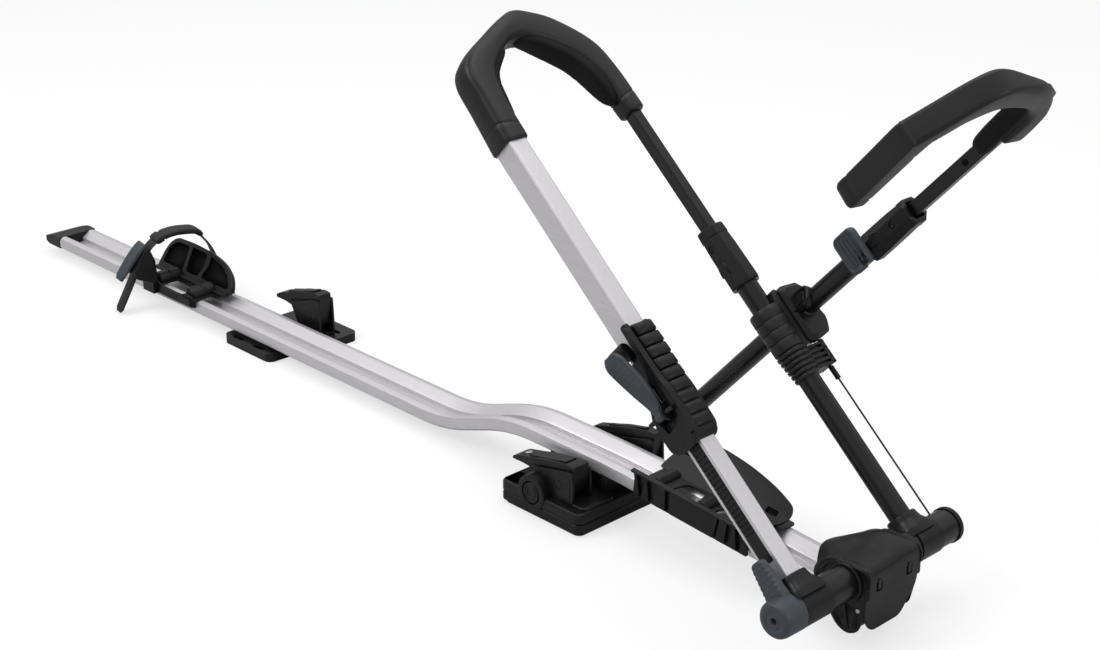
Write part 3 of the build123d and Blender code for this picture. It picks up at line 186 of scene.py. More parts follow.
def joined(name, pieces):
    bm = bmesh.new()
    for piece in pieces:
        if piece.modifiers:
            bpy.context.view_layer.update()
            settle(piece)
        bm.from_mesh(piece.data)
    mesh = bpy.data.meshes.new(name)
    bm.to_mesh(mesh)
    bm.free()
    for piece in pieces:
        bpy.data.objects.remove(piece)
    whole = bpy.data.objects.new(name, mesh)
    scene.collection.objects.link(whole)
    return whole


# Points round a rectangle with rounded corners, centred on zero
def roundRect(width, height, radius, corner=5):
    radius = min(radius, width / 2 - 1e-3, height / 2 - 1e-3)
    points = []
    for cx, cy, start in ((1, 1, 0), (-1, 1, 90), (-1, -1, 180), (1, -1, 270)):
        for i in range(corner + 1):
            a = radians(start + 90 * i / corner)
            points.append((cx * (width / 2 - radius) + radius * cos(a), cy * (height / 2 - radius)
                           + radius * sin(a)))
    return points


def corners(x0, y0, x1, y1):
    return [(x0, y0), (x1, y0), (x1, y1), (x0, y1)]


# A direction square to a line of points, on its left
def leftOf(line, i):
    run = (line[min(i + 1, len(line) - 1)] - line[max(i - 1, 0)]).normalized()
    return Vector((-run.y, run.x))


# Rounds the corners of an outline; radius may be a list
def roundOutline(points, radius, corner=5):
    count = len(points)
    radii = radius if isinstance(radius, (list, tuple)) else [radius] * count
    out = []
    for i, here in enumerate(points):
        p, a, b = Vector(here), Vector(points[i - 1]), Vector(points[(i + 1) % count])
        reach = min(radii[i], (a - p).length * 0.48, (b - p).length * 0.48)
        start, end = p + (a - p).normalized() * reach, p + (b - p).normalized() * reach
        for j in range(corner + 1):
            t = j / corner
            q = start * (1 - t) ** 2 + p * 2 * t * (1 - t) + end * t * t
            out.append((q.x, q.y))
    return out


# Evenly spaced points on a smooth curve through the given ones
def smoothLine(points, count):
    pts = [Vector(p) for p in points]
    dense = []
    for i in range(len(pts) - 1):
        p0 = pts[i - 1] if i else pts[0] * 2 - pts[1]
        p3 = pts[i + 2] if i + 2 < len(pts) else pts[-1] * 2 - pts[-2]
        p1, p2 = pts[i], pts[i + 1]
        for j in range(24):
            t = j / 24
            dense.append(0.5 * (2 * p1 + (p2 - p0) * t + (2 * p0 - 5 * p1 + 4 * p2 - p3) * t * t
                                + (3 * p1 - p0 - 3 * p2 + p3) * t ** 3))
    dense.append(pts[-1])
    lengths = [0.0]
    for a, b in zip(dense, dense[1:]):
        lengths.append(lengths[-1] + (b - a).length)
    out, k = [], 0
    for i in range(count):
        target = lengths[-1] * i / (count - 1)
        while k < len(dense) - 2 and lengths[k + 1] < target:
            k += 1
        span = lengths[k + 1] - lengths[k]
        out.append(dense[k].lerp(dense[k + 1], 0 if span == 0 else (target - lengths[k]) / span))
    return out


# Turns a profile of (along, radius) pairs; at(x, y, along) places it
def spun(name, profile, at, sides=64):
    rings = [[at(r * cos(2 * pi * j / sides), r * sin(2 * pi * j / sides), z) for j in range(sides)]
             for z, r in profile]
    return loft(name, rings)


def dress(piece, material, body, *replaced):
    piece.data.materials.clear()
    piece.data.materials.append(material)
    for face in piece.data.polygons:
        face.material_index = 0
    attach(piece, body)
    if replaced:
        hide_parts(*replaced)
    return piece


# Finishes
def nodeGroup(name, inputs, outputs):
    group = bpy.data.node_groups.new(name, "ShaderNodeTree")
    for label, kind, value in inputs:
        socket = group.interface.new_socket(name=label, in_out="INPUT", socket_type=kind)
        if value is not None:
            socket.default_value = value
    for label, kind in outputs:
        group.interface.new_socket(name=label, in_out="OUTPUT", socket_type=kind)
    return group, group.nodes.new("NodeGroupInput"), group.nodes.new("NodeGroupOutput")


def setInputs(node, values):
    for label, value in values.items():
        node.inputs[label].default_value = value


def addMath(tree, operation, a, b):
    node = tree.nodes.new("ShaderNodeMath")
    node.operation = operation
    for i, value in enumerate((a, b)):
        if isinstance(value, (int, float)):
            node.inputs[i].default_value = value
        else:
            tree.links.new(value, node.inputs[i])
    return node.outputs[0]


# Fine pebbled surface of moulded plastic and rubber, with slow changes of shade
mouldGrain, grainIn, grainOut = nodeGroup(
    "moulded grain",
    [("Vector", "NodeSocketVector", None), ("Scale", "NodeSocketFloat", 900.0),
     ("Patch Scale", "NodeSocketFloat", 22.0)],
    [("Height", "NodeSocketFloat"), ("Patches", "NodeSocketFloat")],
)
pebbles = mouldGrain.nodes.new("ShaderNodeTexVoronoi")
pebbles.feature = "SMOOTH_F1"
specks = mouldGrain.nodes.new("ShaderNodeTexNoise")
specks.inputs["Detail"].default_value = 3
patches = mouldGrain.nodes.new("ShaderNodeTexNoise")
patches.inputs["Detail"].default_value = 4
for texture in (pebbles, specks, patches):
    mouldGrain.links.new(grainIn.outputs["Vector"], texture.inputs["Vector"])
mouldGrain.links.new(grainIn.outputs["Scale"], pebbles.inputs["Scale"])
mouldGrain.links.new(addMath(mouldGrain, "MULTIPLY", grainIn.outputs["Scale"], 2.3), specks.inputs["Scale"])
mouldGrain.links.new(grainIn.outputs["Patch Scale"], patches.inputs["Scale"])
halfSpecks = addMath(mouldGrain, "MULTIPLY", specks.outputs["Fac"], 0.5)
grainSum = addMath(mouldGrain, "ADD", pebbles.outputs["Distance"], halfSpecks)
mouldGrain.links.new(grainSum, grainOut.inputs["Height"])
mouldGrain.links.new(patches.outputs["Fac"], grainOut.inputs["Patches"])

# Long fine lines left by drawing and anodising a metal bar
drawnLines, drawnIn, drawnOut = nodeGroup(
    "drawn lines",
    [("Vector", "NodeSocketVector", None), ("Line Scale", "NodeSocketFloat", 60.0)],
    [("Lines", "NodeSocketFloat"), ("Cloud", "NodeSocketFloat")],
)
lineNoise = drawnLines.nodes.new("ShaderNodeTexNoise")
lineNoise.inputs["Detail"].default_value = 6
cloudNoise = drawnLines.nodes.new("ShaderNodeTexNoise")
cloudNoise.inputs["Scale"].default_value = 4
drawnLines.links.new(drawnIn.outputs["Vector"], lineNoise.inputs["Vector"])
drawnLines.links.new(drawnIn.outputs["Vector"], cloudNoise.inputs["Vector"])
drawnLines.links.new(drawnIn.outputs["Line Scale"], lineNoise.inputs["Scale"])
drawnLines.links.new(lineNoise.outputs["Fac"], drawnOut.inputs["Lines"])
drawnLines.links.new(cloudNoise.outputs["Fac"], drawnOut.inputs["Cloud"])


def startMaterial(name):
    material = bpy.data.materials.new(name)
    material.use_nodes = True
    tree = material.node_tree
    coordinates = tree.nodes.new("ShaderNodeTexCoord")
    return material, tree, tree.nodes["Principled BSDF"], coordinates.outputs["Object"]


def rampBetween(tree, value, low, high, dark, light):
    ramp = tree.nodes.new("ShaderNodeMapRange")
    setInputs(ramp, {"From Min": low, "From Max": high, "To Min": dark, "To Max": light})
    tree.links.new(value, ramp.inputs["Value"])
    return ramp.outputs["Result"]


def mixColours(tree, factor, a, b):
    mix = tree.nodes.new("ShaderNodeMix")
    mix.data_type = "RGBA"
    tree.links.new(factor, mix.inputs["Factor"])
    setInputs(mix, {"A": (*a, 1), "B": (*b, 1)})
    return mix.outputs["Result"]


def mouldedMaterial(name, look):
    material, tree, shader, place = startMaterial(name)
    grain = tree.nodes.new("ShaderNodeGroup")
    grain.node_tree = mouldGrain
    tree.links.new(place, grain.inputs["Vector"])
    setInputs(grain, {"Scale": look["grainScale"], "Patch Scale": look["patchScale"]})
    share = rampBetween(tree, grain.outputs["Patches"], 0.3, 0.7, 0.0, 1.0)
    tree.links.new(mixColours(tree, share, look["dark"], look["light"]), shader.inputs["Base Color"])
    rough = rampBetween(tree, grain.outputs["Patches"], 0.3, 0.7, look["rough"] + 0.04, look["rough"] - 0.04)
    tree.links.new(rough, shader.inputs["Roughness"])
    bump = tree.nodes.new("ShaderNodeBump")
    setInputs(bump, {"Strength": look["grainStrength"], "Distance": 0.0002})
    tree.links.new(grain.outputs["Height"], bump.inputs["Height"])
    tree.links.new(bump.outputs["Normal"], shader.inputs["Normal"])
    shader.inputs["Specular IOR Level"].default_value = look["specular"]
    return material


def metalMaterial(name, look, turn=0.0):
    material, tree, shader, place = startMaterial(name)
    mapping = tree.nodes.new("ShaderNodeMapping")
    setInputs(mapping, {"Rotation": (0, turn, 0), "Scale": (0.05, 1, 1)})
    tree.links.new(place, mapping.inputs["Vector"])
    lines = tree.nodes.new("ShaderNodeGroup")
    lines.node_tree = drawnLines
    tree.links.new(mapping.outputs["Vector"], lines.inputs["Vector"])
    lines.inputs["Line Scale"].default_value = look["lineScale"]
    share = rampBetween(tree, lines.outputs["Lines"], 0.35, 0.65, 0.0, 1.0)
    tree.links.new(mixColours(tree, share, look["dark"], look["light"]), shader.inputs["Base Color"])
    rough = rampBetween(tree, lines.outputs["Lines"], 0.3, 0.7, look["rough"] + 0.03, look["rough"] - 0.03)
    tree.links.new(rough, shader.inputs["Roughness"])
    bump = tree.nodes.new("ShaderNodeBump")
    setInputs(bump, {"Strength": look["lineStrength"], "Distance": 0.0001})
    tree.links.new(lines.outputs["Lines"], bump.inputs["Height"])
    tree.links.new(bump.outputs["Normal"], shader.inputs["Normal"])
    setInputs(shader, {"Metallic": look["metallic"], "Specular IOR Level": look["specular"]})
    return material


plasticLook = {"dark": (0.0038, 0.0038, 0.0043), "light": (0.0064, 0.0064, 0.0070), "rough": 0.38,
               "specular": 0.26, "grainScale": 1400.0, "patchScale": 16.0, "grainStrength": 0.16}
rubberLook = {"dark": (0.0060, 0.0060, 0.0066), "light": (0.0090, 0.0090, 0.0098), "rough": 0.44,
              "specular": 0.32, "grainScale": 1100.0, "patchScale": 12.0, "grainStrength": 0.15}
linerLook = {"dark": (0.0030, 0.0030, 0.0034), "light": (0.0050, 0.0050, 0.0055), "rough": 0.58,
             "specular": 0.16, "grainScale": 1100.0, "patchScale": 20.0, "grainStrength": 0.20}
# Painted shade: a near-black finish for thin sheets and discs laid in hollows, holes and pockets where shade
# falls
paintedShadeLook = {"dark": (0.0015, 0.0015, 0.0015), "light": (0.003, 0.003, 0.003), "rough": 0.70, "specular": 0.10,
            "grainScale": 1100.0, "patchScale": 20.0, "grainStrength": 0.10}
greyLook = {"dark": (0.038, 0.046, 0.055), "light": (0.046, 0.055, 0.066), "rough": 0.42, "specular": 0.30,
            "grainScale": 1500.0, "patchScale": 18.0, "grainStrength": 0.12}
blackMetalLook = {"dark": (0.0035, 0.0035, 0.0038), "light": (0.0050, 0.0050, 0.0054), "rough": 0.28,
                  "metallic": 0.0, "specular": 0.34, "lineScale": 420.0, "lineStrength": 0.004}
silverLook = {"dark": (0.605, 0.588, 0.602), "light": (0.640, 0.624, 0.638), "rough": 0.42, "metallic": 0.72,
              "specular": 0.4, "lineScale": 420.0, "lineStrength": 0.02}
steelLook = {"dark": (0.40, 0.40, 0.41), "light": (0.50, 0.50, 0.51), "rough": 0.26, "metallic": 1.0,
             "specular": 0.5, "lineScale": 320.0, "lineStrength": 0.10}
blackPlastic = mouldedMaterial("moulded black plastic", plasticLook)
blackRubber = mouldedMaterial("soft black rubber", rubberLook)
linerRubber = mouldedMaterial("dark liner rubber", linerLook)
# The painted shade finish, darker than the black plastic
paintedShadeBlack = mouldedMaterial("painted hollow shade", paintedShadeLook)
greyPlastic = mouldedMaterial("blue-grey lever plastic", greyLook)
blackTube = metalMaterial("satin black tube", blackMetalLook, legAngle)
hookTubeBlack = metalMaterial("satin black hook tube", blackMetalLook, -hookAngle)
silverRail = metalMaterial("anodised rail", silverLook)
silverBar = metalMaterial("anodised hoop bar", silverLook, legAngle)
plainSteel = metalMaterial("plain steel", steelLook)
print("finishes made")

# Hoop pad: a soft arch whose section goes from a deep bar end to a flatter rod end
hoopPadLook = {
    "outer": [(638, -141), (700, -136), (744, -132), (768, -112), (792, -66), (808, -32), (815, -8), (809, 14),
              (790, 48), (748, 86), (702, 98), (638, 101)],
    "inner": [(638, -103), (700, -99), (738, -86), (768, -48), (776, -26), (773, -4), (758, 22), (732, 50),
              (692, 68), (638, 73)],
    "barDepth": 42.0, "rodDepth": 31.0, "corner": 9.0, "stations": 96, "seams": (0.055, 0.945),
    "creaseEnd": 0.3,
}


# A rounded section; its outer upper corner can carry a sunk crease line
def padSection(half, depth, corner, crease, crown=1.0):
    c = min(corner, half - 0.5, depth / 2 - 0.5)
    d = depth / 2
    points = [(half, d - c), (half - 0.08 * c, d - 0.62 * c), (half - 0.29 * c, d - 0.29 * c),
              (half - 0.40 * c, d - 0.21 * c), (half - 0.46 * c, d - 0.20 * c - crease),
              (half - 0.58 * c, d - 0.14 * c - crease), (half - 0.64 * c, d - 0.08 * c), (half - c, d)]
    points += [((half - c) * x, d + crown * (1 - x * x)) for x in (0.6, 0.2, -0.2, -0.6)]
    for cx, cy, start in ((-1, 1, 90), (-1, -1, 180), (1, -1, 270)):
        for i in range(7):
            a = radians(start + 15 * i)
            points.append((cx * (half - c) + c * cos(a), cy * (d - c) + c * sin(a)))
        if cx < 0 and cy > 0:
            points += [(-half - crown * 0.6 * (1 - x * x), (d - c) * x) for x in (0.5, 0, -0.5)]
        if cx > 0:
            points += [(half + crown * (1 - x * x), (d - c) * x) for x in (-0.5, 0, 0.5)]
    return points


def alongLine(line, t):
    place = max(0.0, min(1.0, t)) * (len(line) - 1)
    i = min(int(place), len(line) - 2)
    return line[i].lerp(line[i + 1], place - i)


def padLoft(name, look, at):
    outer = smoothLine(look["outer"], look["stations"])
    inner = smoothLine(look["inner"], look["stations"])
    stops = {i / (look["stations"] - 1): 0.0 for i in range(1, look["stations"] - 1)}
    for seam in look["seams"]:
        for t in [t for t in stops if abs(t - seam) < 0.006]:
            del stops[t]
        stops.update({seam - 0.0026: 0.0, seam - 0.0012: -0.55, seam + 0.0012: -0.55, seam + 0.0026: 0.0})
    stops.update({0.0: -1.6, 0.004: -0.2, 0.996: -0.2, 1.0: -1.6})
    rings = []
    for t in sorted(stops):
        o, i = alongLine(outer, t), alongLine(inner, t)
        middle, half = (o + i) / 2, (o - i) / 2
        depth = look["barDepth"] + (look["rodDepth"] - look["barDepth"]) * t + 2 * stops[t]
        crease = 1.7 * max(0.0, min(1.0, (look["creaseEnd"] - t) / 0.05, 1.0))
        rings.append([at(*(middle + half.normalized() * x), n)
                      for x, n in padSection(half.length + stops[t], depth, look["corner"], crease)])
    return loft(name, rings), outer, inner


hoopPad, outerLine, innerLine = padLoft("hoopPad", hoopPadLook, legAt)
dress(hoopPad, blackRubber, "hoop_upper", "hoop_pad", "hoop_core")


# A cushion let into the inside of a pad, swelling towards its middle
def linerLoft(name, at, inner, outer, look):
    rings = []
    for i in range(40):
        share = i / 39
        t = look["start"] + (look["end"] - look["start"]) * share
        inward = (alongLine(inner, t) - alongLine(outer, t)).normalized()
        fade = (1 - (2 * share - 1) ** 4) ** 0.6
        lean = 1 - look["lean"] * (1 - share) ** 2
        swell = 0.6 + look["swell"] * fade * lean
        depth = 5 + (look["depth"] - 5) * fade
        line = 0.5 if any(abs(share - s) < 0.014 for s in look["lines"]) else 0
        middle = alongLine(inner, t) + inward * (swell / 2 - 4)
        rings.append([at(*(middle + inward * x), n + look["lift"])
                      for x, n in roundRect(swell + 8 - line, depth - line, min(7, swell / 2 + 3), 5)])
    return loft(name, rings)


farLiner = linerLoft("farLiner", legAt, innerLine, outerLine, {
    "start": 0.49, "end": 0.95, "swell": 15.0, "depth": 32.0, "lean": 0.55, "lift": -1.0, "lines": (0.3, 0.62)})
nearLiner = linerLoft("nearLiner", legAt, innerLine, outerLine, {
    "start": 0.06, "end": 0.43, "swell": 6.5, "depth": 32.0, "lean": -0.2, "lift": -1.0, "lines": (0.45, 0.62)})
dress(joined("hoopLiner", [farLiner, nearLiner]), linerRubber, "hoop_upper", "hoop_liner")

# Hook pad: a bent cushion over the rod, with a sunk line at its bend
padTilt = radians(6)
padRoot = hookAt(0, hookSide, -4)
padAcross = Vector((0, cos(padTilt), 0)) - overHook * sin(padTilt)
padOver = overHook * cos(padTilt) + Vector((0, sin(padTilt), 0))


def hookPadAt(s, y, w=0.0):
    return padRoot + alongHook * (s / 1000) + padAcross * ((y - hookSide) / 1000) + padOver * (w / 1000)


hookPadLook = {
    "outer": [(408, 139), (440, 138), (468, 131), (492, 112), (507, 86), (517, 50), (522, 20), (518, -2),
              (499, -24), (470, -47), (444, -69), (440, -71.5), (380, -69), (324, -67)],
    "inner": [(408, 105), (430, 106), (452, 102), (466, 90), (474, 72), (482, 46), (486, 22), (483, 4),
              (470, -18), (456, -30), (442, -41), (436, -43), (378, -42), (324, -41)],
    "depth": 31.0, "corner": 5, "stations": 120, "crease": (442, -70.5), "bend": 0.22, "bendReach": 0.26,
    "line": 114,
}
stations = hookPadLook["stations"]
lastStation = stations - 1
outer = smoothLine(hookPadLook["outer"], stations)
inner = smoothLine(hookPadLook["inner"], stations)
creaseAt = min(range(stations), key=lambda i: (outer[i] - Vector(hookPadLook["crease"])).length) / lastStation
insets = {0: -1.4, 1: -0.2, hookPadLook["line"]: -0.7, lastStation - 1: -0.2, lastStation: -1.4}
rings = []
for i in range(stations):
    t = i / lastStation
    grow = insets.get(i, 0)
    middle, half = (outer[i] + inner[i]) / 2, (outer[i] - inner[i]) / 2
    bend = max(0.0, 1 - abs(t - hookPadLook["bend"]) / hookPadLook["bendReach"])
    bend = bend * bend * (3 - 2 * bend)
    kink = max(0.0, 1 - abs(t - creaseAt) / 0.010)
    ring = []
    wide = 2 * (half.length + grow)
    deep = hookPadLook["depth"] + 2 * grow - 1.4 * kink
    for x, w in roundRect(wide - 1.2 * kink, deep, hookPadLook["corner"] + 7 * bend, 7):
        up = max(0.0, w / (deep / 2))
        drop = bend * up * (5 + 9 * max(0.0, x / half.length))
        crown = (0.9 if w > 0 else -0.9) * (1 - (x / (half.length + 0.1)) ** 2) if abs(w) > deep / 2 - 1 else 0
        place = middle + half.normalized() * (x - bend * 2.5 * up * max(0.0, x / half.length))
        ring.append(hookPadAt(place.x, place.y, w - drop + crown))
    rings.append(ring)
hookPad = loft("hookPad", rings)
dress(hookPad, blackRubber, "hook_upper", "hook_pad")

# Flap that curls down beside the rod under the pad's root, like a thick finger
flapLook = {"line": [(488, 84), (472, 96), (452, 103), (430, 104), (408, 104), (386, 107), (375, 110)],
            "width": 16, "depth": 27, "corner": 6.5, "grooves": (10, 20), "holeAt": 344}
flapLine = smoothLine(flapLook["line"], 40)
flapRings = []
for i, p in enumerate(flapLine):
    t = i / 39
    side = leftOf(flapLine, i)
    tip = 1 - (1 - min(1, (1 - t) / 0.16)) ** 2.4
    wide = flapLook["width"] * (0.3 + 0.7 * tip ** 0.5)
    deep = (flapLook["depth"] - 4 * t) * (0.35 + 0.65 * tip ** 0.5)
    line = 0.6 if i in flapLook["grooves"] else 0
    section = roundRect(wide - line, deep - line, flapLook["corner"] * (0.4 + 0.6 * tip), 6)
    flapRings.append([hookAt(*(p + side * x), w + 2 - 4 * t) for x, w in section])
hookLiner = loft("hookLiner", flapRings)
dress(hookLiner, linerRubber, "hook_upper", "hook_liner")
# A disc of painted shade stands for the rod hole
rodHoleShade = spun("rodHoleShade", [(120.6, 0.2), (120.6, 4.2), (121.6, 4.4)],
               lambda x, y, z: hookAt(flapLook["holeAt"] + x, z, y), 28)
dress(rodHoleShade, paintedShadeBlack, "hook_upper")
print("pads made")

# Ratchet handle: a body bored for both bars, a skirt, a rim, lugs for the lever and ribs on top.
# The pairs are its parts' sides, near and far
handleLook = {"body": (-137.5, -103.5), "bore": (-134.6, -109.4), "upperBore": (-136.4, -107.6),
              "skirt": (-144.5, -137), "rim": (-147.5, -141.5), "nose": (-139, -105), "thumbLoop": (-22, 6),
              "lever": (262, -152), "ribs": 9, "ribStart": 229, "ribLength": 15.6, "ribMiddle": -120.2,
              "ribHalf": 16.4}
bodyOutline = roundOutline(
    [(217, -20), (240, -24), (290, -22), (372, -18), (374, 18), (352, 20), (296, 21), (280, 24), (226, 23),
     (215, 12), (214, -10)],
    [9, 16, 14, 8, 6, 10, 10, 10, 6, 8, 9], 5)
handleBody = prism("handleBody", bodyOutline, sideways(legAt), *handleLook["body"])
carve(
    handleBody,
    prism("barBore", corners(200, -15.4, 400, 15.4), sideways(legAt), *handleLook["bore"]),
    prism("upperBore", corners(343, -17.4, 400, 17.4), sideways(legAt), *handleLook["upperBore"]),
    prism("openFlank", [(334, -40), (400, -40), (400, 8), (346, 8), (334, 0)], sideways(legAt), -150, -107.7),
)
soften(handleBody, 1.8, 3)
skirtOutline = roundOutline(
    [(214, -16), (222, -27), (246, -29), (276, -22), (291, -8), (306, 6), (330, 11), (374, 12), (375, 22),
     (340, 23), (300, 24), (282, 28), (226, 27), (213, 16)], [8, 10, 12, 12, 12, 10, 8, 4, 4, 12, 10, 10, 8, 8],
    5)
skirt = prism("handleSkirt", skirtOutline, sideways(legAt), *handleLook["skirt"])
wellOutline = roundOutline([(242, -14), (276, -16), (294, -2), (300, 10), (262, 12), (246, 10)], 5, 4)
skirt = carve(skirt, prism("leverWell", wellOutline, sideways(legAt), -150, -139))
soften(skirt, 2.0, 3)
rimOutline = roundOutline([(224, 19), (228, 27.5), (284, 28.5), (302, 25), (366, 24), (373, 19), (366, 16),
                           (300, 17), (282, 20), (240, 20)], [3, 4, 6, 6, 6, 4, 4, 6, 6, 4], 4)
handleRim = prism("handleRim", rimOutline, sideways(legAt), *handleLook["rim"])
soften(handleRim, 1.6, 3)
lugOutline = roundOutline([(252, -140), (252, -154), (262, -159), (272, -154), (276, -140)], 5, 5)
lugs = [soften(prism("handleLug", lugOutline, legAt, low, high), 1.0, 2)
        for low, high in ((-10.5, -7), (7, 10.5))]
loopOutline = roundOutline([(338, -148), (352, -154), (360, -150), (357, -140), (338, -137)], 5, 5)
thumbLoop = prism("thumbLoop", loopOutline, legAt, *handleLook["thumbLoop"])
handleBody = joined("handleBody", [handleBody, skirt, handleRim, *lugs, soften(thumbLoop, 1.6, 3)])
dress(handleBody, blackPlastic, "hoop_upper", "ratchet_body")

gripParts = []
ribLength = handleLook["ribLength"]
for i in range(handleLook["ribs"]):
    start = handleLook["ribStart"] + i * ribLength
    foot = 16.8 + 0.30 * i
    wide = handleLook["ribHalf"] if i < handleLook["ribs"] - 1 else 15.2
    rings = []
    for along, rise, half in ((-0.2, 4.6, wide - 1.6), (0.7, 7.6, wide - 0.6), (2.2, 8.6, wide),
                              (ribLength - 2.6, 7.4, wide), (ribLength - 1.2, 6.6, wide - 0.5),
                              (ribLength - 0.7, 4.4, wide - 1.4)):
        rings.append([legAt(start + along, handleLook["ribMiddle"] + half * cos(pi * j / 14),
                            foot + (rise + 1.5) * sin(pi * j / 14) ** 0.42) for j in range(15)])
    gripParts.append(loft("gripRib", rings))
gripBed = prism("gripBed", corners(-134.6, 14, -107.4, 21.0), endways(legAt), 227, 369)
noseOutline = roundOutline([(215, 8), (215, 14), (219, 20.5), (229, 23.6), (229, 8)], [4, 5, 5, 2, 4], 4)
gripNose = prism("gripNose", noseOutline, sideways(legAt), *handleLook["nose"])
grip = joined("gripRibs", [*gripParts, gripBed, soften(gripNose, 2.4, 3)])
dress(grip, blackPlastic, "hoop_upper", "ratchet_grip")

# Blue-grey squeeze lever: narrow at its hinge, a lined paddle at its tip
leverLook = {"line": [(264, -153), (280, -152.5), (300, -156.5), (320, -162.5), (338, -168), (351, -170.5)],
             "half": [5.6, 10.5, 14.0, 15.5, 16.5, 16.5], "thick": [7.0, 8.5, 9.0, 8.5, 7.5, 6.0]}
leverLine = smoothLine(leverLook["line"], 44)
leverHalf = smoothLine([(i * 10, h) for i, h in enumerate(leverLook["half"])], 44)
leverThick = smoothLine([(i * 10, h) for i, h in enumerate(leverLook["thick"])], 44)
rings = []
for i, p in enumerate(leverLine):
    side = leftOf(leverLine, i)
    half, thick = leverHalf[i].y, leverThick[i].y
    if i > 36:
        half -= 7.5 * ((i - 36) / 7) ** 2.2
        thick -= 1.8 * ((i - 36) / 7) ** 2
    groove = 0.9 if 22 <= i <= 37 and i % 3 == 0 else 0
    inset = 0.7 if 20 <= i <= 38 else 0
    ring = []
    for x, n in roundRect(thick, 2 * half, min(3.0, thick / 2 - 0.2), 5):
        sink = -(groove + inset) if x < 0 and abs(n) < half - 2.6 else 0
        q = p + side * (x - sink)
        ring.append(legAt(q.x, q.y, n))
    rings.append(ring)
squeezeLever = loft("squeezeLever", rings)
hingeAt, hingeSide = handleLook["lever"]
leverEye = spun("leverEye", [(-6.7, 4.6), (-6.2, 5.6), (6.2, 5.6), (6.7, 4.6)],
                lambda x, y, z: legAt(hingeAt + x, hingeSide + y, z), 32)
dress(joined("squeezeLever", [squeezeLever, leverEye]), greyPlastic, "ratchet_lever", "ratchet_lever")
print("ratchet handle made")

# Collar boot on the black leg: thin rings, then wide ones, with a comb and a cuff beside them
bootLook = {"start": 234, "rings": 6, "ringStep": 6.6, "ringRadius": 16.4, "ringGrowth": 0.75,
            "wideRings": [(274, 20.6), (288.5, 21.1), (303, 21.3), (317.5, 21.4)], "fins": 5, "finStart": 236,
            "finStep": 7.2}
profile = [(233.5, 14.3), (233.5, 15.4)]
for i in range(bootLook["rings"]):
    base = bootLook["start"] + i * bootLook["ringStep"]
    radius = bootLook["ringRadius"] + i * bootLook["ringGrowth"]
    profile += [(base + 0.5, radius), (base + 0.9, radius + 0.5), (base + 4.0, radius + 0.8),
                (base + 4.5, radius + 0.3), (base + 5.0, radius - 2.0), (base + 6.1, radius - 2.0)]
for base, radius in bootLook["wideRings"]:
    profile += [(base, radius - 1.3), (base + 0.5, radius - 0.3), (base + 1.4, radius), (base + 12.6, radius),
                (base + 13.4, radius - 0.3), (base + 13.9, radius - 1.3)]
profile += [(332.6, 20.6), (333.4, 19.4), (333.6, 14.3)]
boot = spun("collarBoot", profile, turned(legAt, blackLegSide), 80)
fins = []
for i in range(bootLook["fins"]):
    fin = bootLook["finStart"] + i * bootLook["finStep"]
    finOutline = roundOutline(
        [(fin, 98), (fin, 131), (fin + 2, 134), (fin + 3.4, 131), (fin + 3.4, 98)], 1.2, 3)
    fins.append(prism("combFin", finOutline, legAt, -13, 13))
edgeOutline = roundOutline([(236, 126), (236, 133), (270, 133), (270, 126)], 1.5, 3)
backOutline = roundOutline([(236.4, 98), (236.4, 130), (269, 130), (269, 98)], 1.5, 3)
fins += [prism("combEdge", edgeOutline, legAt, 9.4, 13), prism("combBack", backOutline, legAt, -13.4, 8.6)]
comb = soften(joined("comb", fins), 0.6, 2)
cuffOutline = roundOutline([(270, 94), (270, 105.4), (349, 105.4), (349, 98), (338, 93)], [4, 2, 2, 5, 6], 4)
cuff = prism("bootCuff", cuffOutline, legAt, -21, 18.5)
cuff = carve(cuff, spun("legBore", [(200, 14.2), (400, 14.2)], turned(legAt, blackLegSide), 48))
boot = joined("collarBoot", [boot, comb, soften(cuff, 1.8, 3)])
dress(boot, blackRubber, "hoop", "collar_boot")

# Hook hub: a block bored for the tube, a bevelled plate over it, a collar and a dished button.
# Steps are (height, inset)
hubLook = {"tubeRadius": 13.05, "block": (108.4, 148.2), "plateMiddle": (310, 127),
           "plateSteps": [(12, 0), (21.0, 0), (26.4, 6.4)], "buttonTurn": radians(38), "buttonAt": 33.5,
           "buttonSteps": [(7, 0), (16.0, 0), (17.2, 0.9), (17.2, 3.0), (15.4, 3.6)]}
hubOutline = roundOutline([(276, -23), (340, -23), (348, -12), (348, 14), (340, 21), (284, 21), (276, 12)],
                          [6, 6, 5, 4, 4, 6, 5], 4)
hubBlock = prism("hubBlock", hubOutline, sideways(legAt), *hubLook["block"])
tubeBore = spun("tubeBore", [(at, hubLook["tubeRadius"]) for at in (-80, 80)], turned(hookAt, hookSide), 48)
hubBlock = soften(carve(hubBlock, tubeBore), 1.8, 3)
plateOutline = [(272, 103.5), (345, 105), (349, 112), (347, 141), (288, 152), (273, 144), (268, 118)]
rings = []
for height, shrink in hubLook["plateSteps"]:
    ring = []
    for p in roundOutline(plateOutline, 3.0, 3):
        inward = (Vector(hubLook["plateMiddle"]) - Vector(p)).normalized()
        ring.append(legAt(*(Vector(p) + inward * shrink), height))
    rings.append(ring)
hubPlate = soften(loft("hubPlate", rings), 0.9, 2, 22)
collar = spun("tubeCollar", [(24, 13.1), (24, 15.8), (28, 15.2), (29.4, 14.2), (29.8, 13.1)],
              turned(hookAt, hookSide), 56)
buttonOutline = roundOutline([(16, -10), (21, -14.5), (43, -14.5), (51, -9), (51, 9), (43, 14.5), (21, 14.5),
                              (16, 10)], 2, 3)


# A place on the viewer's side of the hook tube
def tubeSide(s, across, rise):
    turn = hubLook["buttonTurn"]
    side = hookSide - rise * cos(turn) + across * sin(turn)
    return hookAt(s, side, rise * sin(turn) + across * cos(turn))


